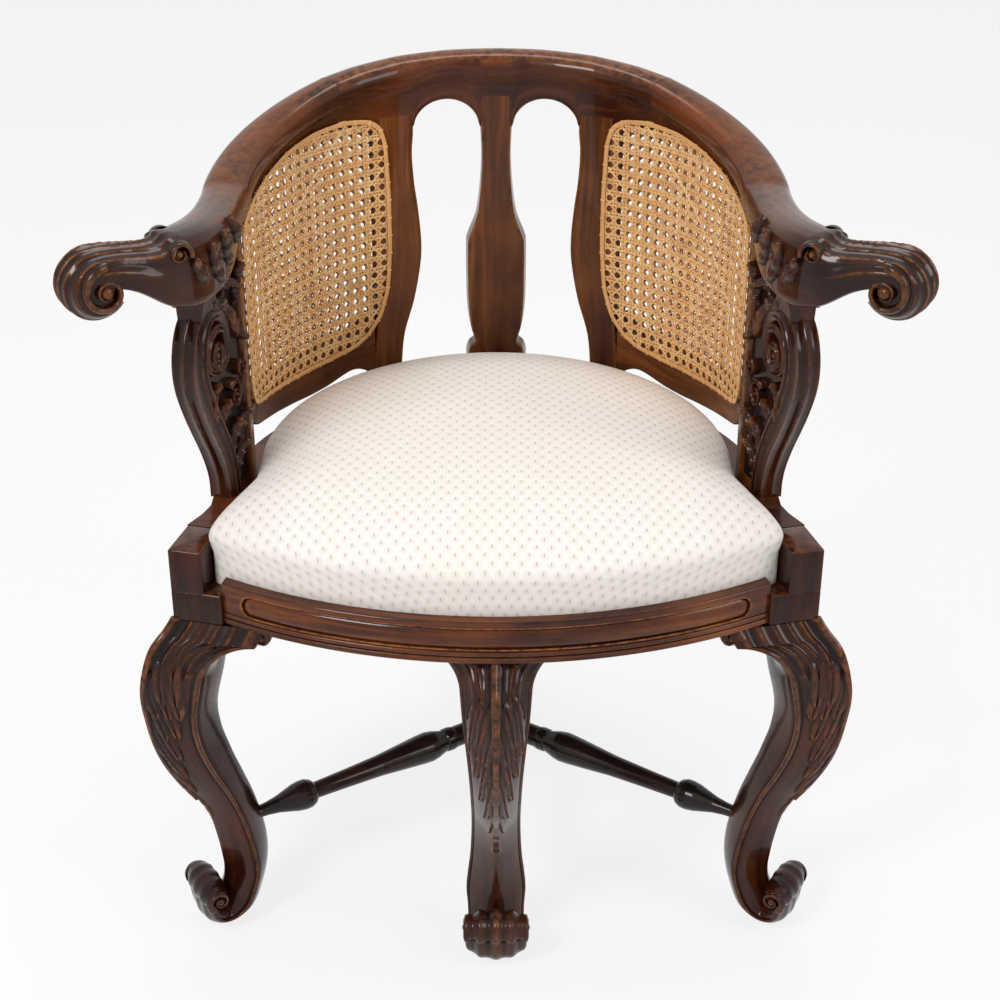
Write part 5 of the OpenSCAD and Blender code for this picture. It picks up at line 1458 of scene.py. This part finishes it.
def make_front_rail():
    """The bowed rail in front, swept from block to block, with its face moulded."""
    foot, lip, inner = LEG_H + 0.0002, BOW_R - FRONT_LIP, BOW_R - FRONT_RAIL_T
    corners = [(BOW_R, foot), (BOW_R, RAIL_TOP), (lip, RAIL_TOP), (lip, LEDGE_Z),
               (inner, LEDGE_Z), (inner, foot)]
    counts = [FACE_POINTS, 10, 8, 10, 12, 12]
    ring = np.concatenate([np.linspace(a, b, count)[:-1]
                           for a, b, count in zip(corners, corners[1:] + corners[:1], counts)])
    ends = np.array([rail_end(r) for r in ring[:, 0]])
    turns = np.linspace(-1, 1, 520)[:, None] * ends
    on_face = np.arange(len(ring)) < FACE_POINTS
    depth, z = ring[:, 0] + 0 * turns, ring[:, 1] + 0 * turns
    height = np.where(on_face, front_profile(turns * BOW_R, z), 0.0)
    r = depth + height
    grid = np.stack([r * np.sin(turns), BOW_Y - r * np.cos(turns), z], axis=-1)
    board = np.stack([turns * BOW_R, depth - BOW_R, z - LEG_H], axis=-1)
    piece = Piece("front_rail_moulded")
    # Painted shade in the moulding's grooves and hollows, wear and painted highlight on its raised
    # edges, through the relief.
    piece.grid(grid, relief_of(height, 0.0022), grain=board)
    return piece.build(FRONT_WOOD, "frame", "mahogany", replaces=["front_rail"])


make_front_rail()


# Pieces that keep their solids, with a better material

def redress(names, material):
    """Gives solids that the scene shows as they are one of its materials."""
    for name in names:
        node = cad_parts[name]
        node.data.materials.clear()
        node.data.materials.append(material)


TURNED_WOOD = wood("turned_mahogany", (0.010, 0.006, 0.005), (0.022, 0.010, 0.008),
                   (0.045, 0.018, 0.011), (0.16, 0.07, 0.035), gloss=0.24, on_grid=False)
redress(["side_rail_left", "side_rail_right"], PLAIN_RAIL)
redress(["stretcher_front", "stretcher_back", "stretcher_left", "stretcher_right",
         "stretcher_boss"], TURNED_WOOD)
redress(["seat_member_front", "seat_member_back", "seat_member_left", "seat_member_right",
         "glue_blocks", "leg_dowels", "arm_dowels"], BEECH)
redress(["glides"], metal("dark_steel", (0.05, 0.045, 0.04), (0.12, 0.11, 0.10), 0.4))
redress(["rail_screws"], metal("screw_steel", (0.35, 0.34, 0.32), (0.55, 0.53, 0.5), 0.35))


# Cloth under the seat

STRAP_W, STRAP_T, STRAP_PITCH, MEMBER_T = 0.048, 0.002, 0.072, 0.020
JUTE = plain_cloth("jute", (0.30, 0.22, 0.12), (0.50, 0.40, 0.25), 500.0)
BLACK_CLOTH = plain_cloth("black_cloth", (0.02, 0.02, 0.02), (0.06, 0.055, 0.05), 900.0)


def reach_of(outline, place, along):
    """Where an outline begins and ends along one axis, at a place on the other."""
    closed = np.concatenate([outline, outline[:1]])
    hits = []
    for a, b in zip(closed[:-1], closed[1:]):
        if (a[1 - along] - place) * (b[1 - along] - place) <= 0 and a[1 - along] != b[1 - along]:
            t = (place - a[1 - along]) / (b[1 - along] - a[1 - along])
            hits.append(a[along] + t * (b[along] - a[along]))
    return min(hits), max(hits)


def strap(piece, index, along, crossings, outline, place):
    """One strap of webbing, which runs over one crossing strap and under the next."""
    ends = [reach_of(outline, place + edge * STRAP_W / 2, along) for edge in (-1, 1)]
    first, last = max(e[0] for e in ends) + 0.002, min(e[1] for e in ends) - 0.002
    section = rounded_bar(STRAP_W, STRAP_T * 0.85, 0.0008)
    rings = []
    for at in np.linspace(first, last, 90):
        wave = sum(((-1) ** (index + k + along)) * math.exp(-((at - c) / 0.024) ** 2)
                   for k, c in enumerate(crossings))
        z = LEDGE_Z + MEMBER_T + STRAP_T * (1.05 + wave * 0.48) + section[:, 1]
        ring = np.stack([place + section[:, 0], np.full(len(z), at), z], axis=-1)
        rings.append(ring if along == 1 else ring[:, [1, 0, 2]])
    piece.grid(np.array(rings))


def make_webbing():
    """Four straps from front to back and three across, woven over and under."""
    outline = seat_outline(-SEAT_GAP - 0.002)
    down = [i * STRAP_PITCH for i in (-1.5, -0.5, 0.5, 1.5)]
    across = [-TUB_FORWARD + i * STRAP_PITCH for i in (-1, 0, 1)]
    piece = Piece("webbing_woven")
    for index, x in enumerate(down):
        strap(piece, index, 1, across, outline, x)
    for index, y in enumerate(across):
        strap(piece, index, 0, down, outline, y)
    return piece.build(JUTE, "seat", "webbing", replaces=["webbing"])


def make_dust_cloth():
    """The thin black cloth under the seat, tacked at its edge and hanging a little."""
    low, high = (np.array(corner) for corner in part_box("dust_cloth"))
    drawn = LEDGE_W + SEAT_GAP
    bow = BOW_R - FRONT_RAIL_T - 2 * SEAT_GAP + drawn
    edge = rounded_ring(seat_outline(-drawn, bow, SEAT_R - drawn), 240, 0.004)
    rings = []
    for share in np.linspace(0, 0.995, 30):
        sag = 0.0026 * math.sin(share * math.pi / 2) + 0.0003 * math.sin(share * 19)
        rings.append(level(edge + (SEAT_MIDDLE - edge) * share, high[2] - LIE_GAP - sag))
    piece = Piece("dust_cloth_hung")
    piece.grid(np.array(rings), caps=False)
    cloth = piece.build(BLACK_CLOTH, "seat", "dust_cloth", replaces=["dust_cloth"])


make_webbing()
make_dust_cloth()


# Stage, lights and camera

FLOOR_COLOUR, FLOOR_SEEN_WHITE = (0.955, 0.955, 0.955), 0.80
WORLD_LIGHT = 0.42
# Name, place, aim, size and watts of each lamp
LAMPS = [("key", (-1.5, -2.0, 2.4), (0, 0, 0.5), (0.8, 0.8), 42),
         ("fill", (2.1, -1.3, 1.8), (0, 0, 0.5), (0.9, 1.2), 17),
         ("top", (0.0, 0.5, 2.8), (0, 0, 0.6), (1.4, 0.8), 22)]
CAMERA_AT, CAMERA_TILT = (0, -1.750, 1.326), math.radians(62)
LENS, SENSOR, SHIFT_X = 68.76, 36, 0.004


def stage_floor():
    """A pale floor that catches the shadows and that the camera sees as nearly white."""
    n = new_material("pale_floor")
    colour = n.mix(n.noise(n.place(), 0.8), FLOOR_COLOUR, tuple(c * 1.02 for c in FLOOR_COLOUR))
    material = n.finish(Base_Color=colour, Roughness=0.9, Specular_IOR_Level=0.0)
    lit = n.add("Emission", {"Color": (1, 1, 1, 1), "Strength": 1.0})
    n.show_when_seen(FLOOR_SEEN_WHITE, lit, "Material Output")
    bpy.ops.mesh.primitive_plane_add(size=24, location=(0, 4, 0))
    floor = bpy.context.object
    floor.name = "floor"
    floor.data.materials.append(material)


def area_light(name, place, target, size, power):
    """A rectangular lamp that shines toward a target."""
    data = bpy.data.lights.new(name, "AREA")
    data.shape = "RECTANGLE"
    data.size, data.size_y = size
    data.energy = power
    lamp = bpy.data.objects.new(name, data)
    bpy.context.scene.collection.objects.link(lamp)
    lamp.location = place
    lamp.rotation_euler = (Vector(target) - lamp.location).to_track_quat("-Z", "Y").to_euler()


def studio():
    """The world's light, with a pale ground behind the chair, and three lamps."""
    world = bpy.data.worlds.new("studio")
    bpy.context.scene.world = world
    n = Nodes(world)
    inputs = n.tree.nodes["Background"].inputs
    n.link((1, 1, 1, 1), inputs["Color"])
    n.link(WORLD_LIGHT, inputs["Strength"])
    n.show_when_seen(1.0, n.add("Background", {"Strength": 1.0}), "World Output")
    for lamp in LAMPS:
        area_light(*lamp)


def place_camera():
    """The photograph's view."""
    data = bpy.data.cameras.new("camera")
    data.lens, data.sensor_width, data.shift_x = LENS, SENSOR, SHIFT_X
    camera = bpy.data.objects.new("camera", data)
    bpy.context.scene.collection.objects.link(camera)
    camera.location = CAMERA_AT
    camera.rotation_euler = (CAMERA_TILT, 0, 0)
    bpy.context.scene.camera = camera
    bpy.context.scene.view_settings.view_transform = "Standard"


stage_floor()
studio()
place_camera()
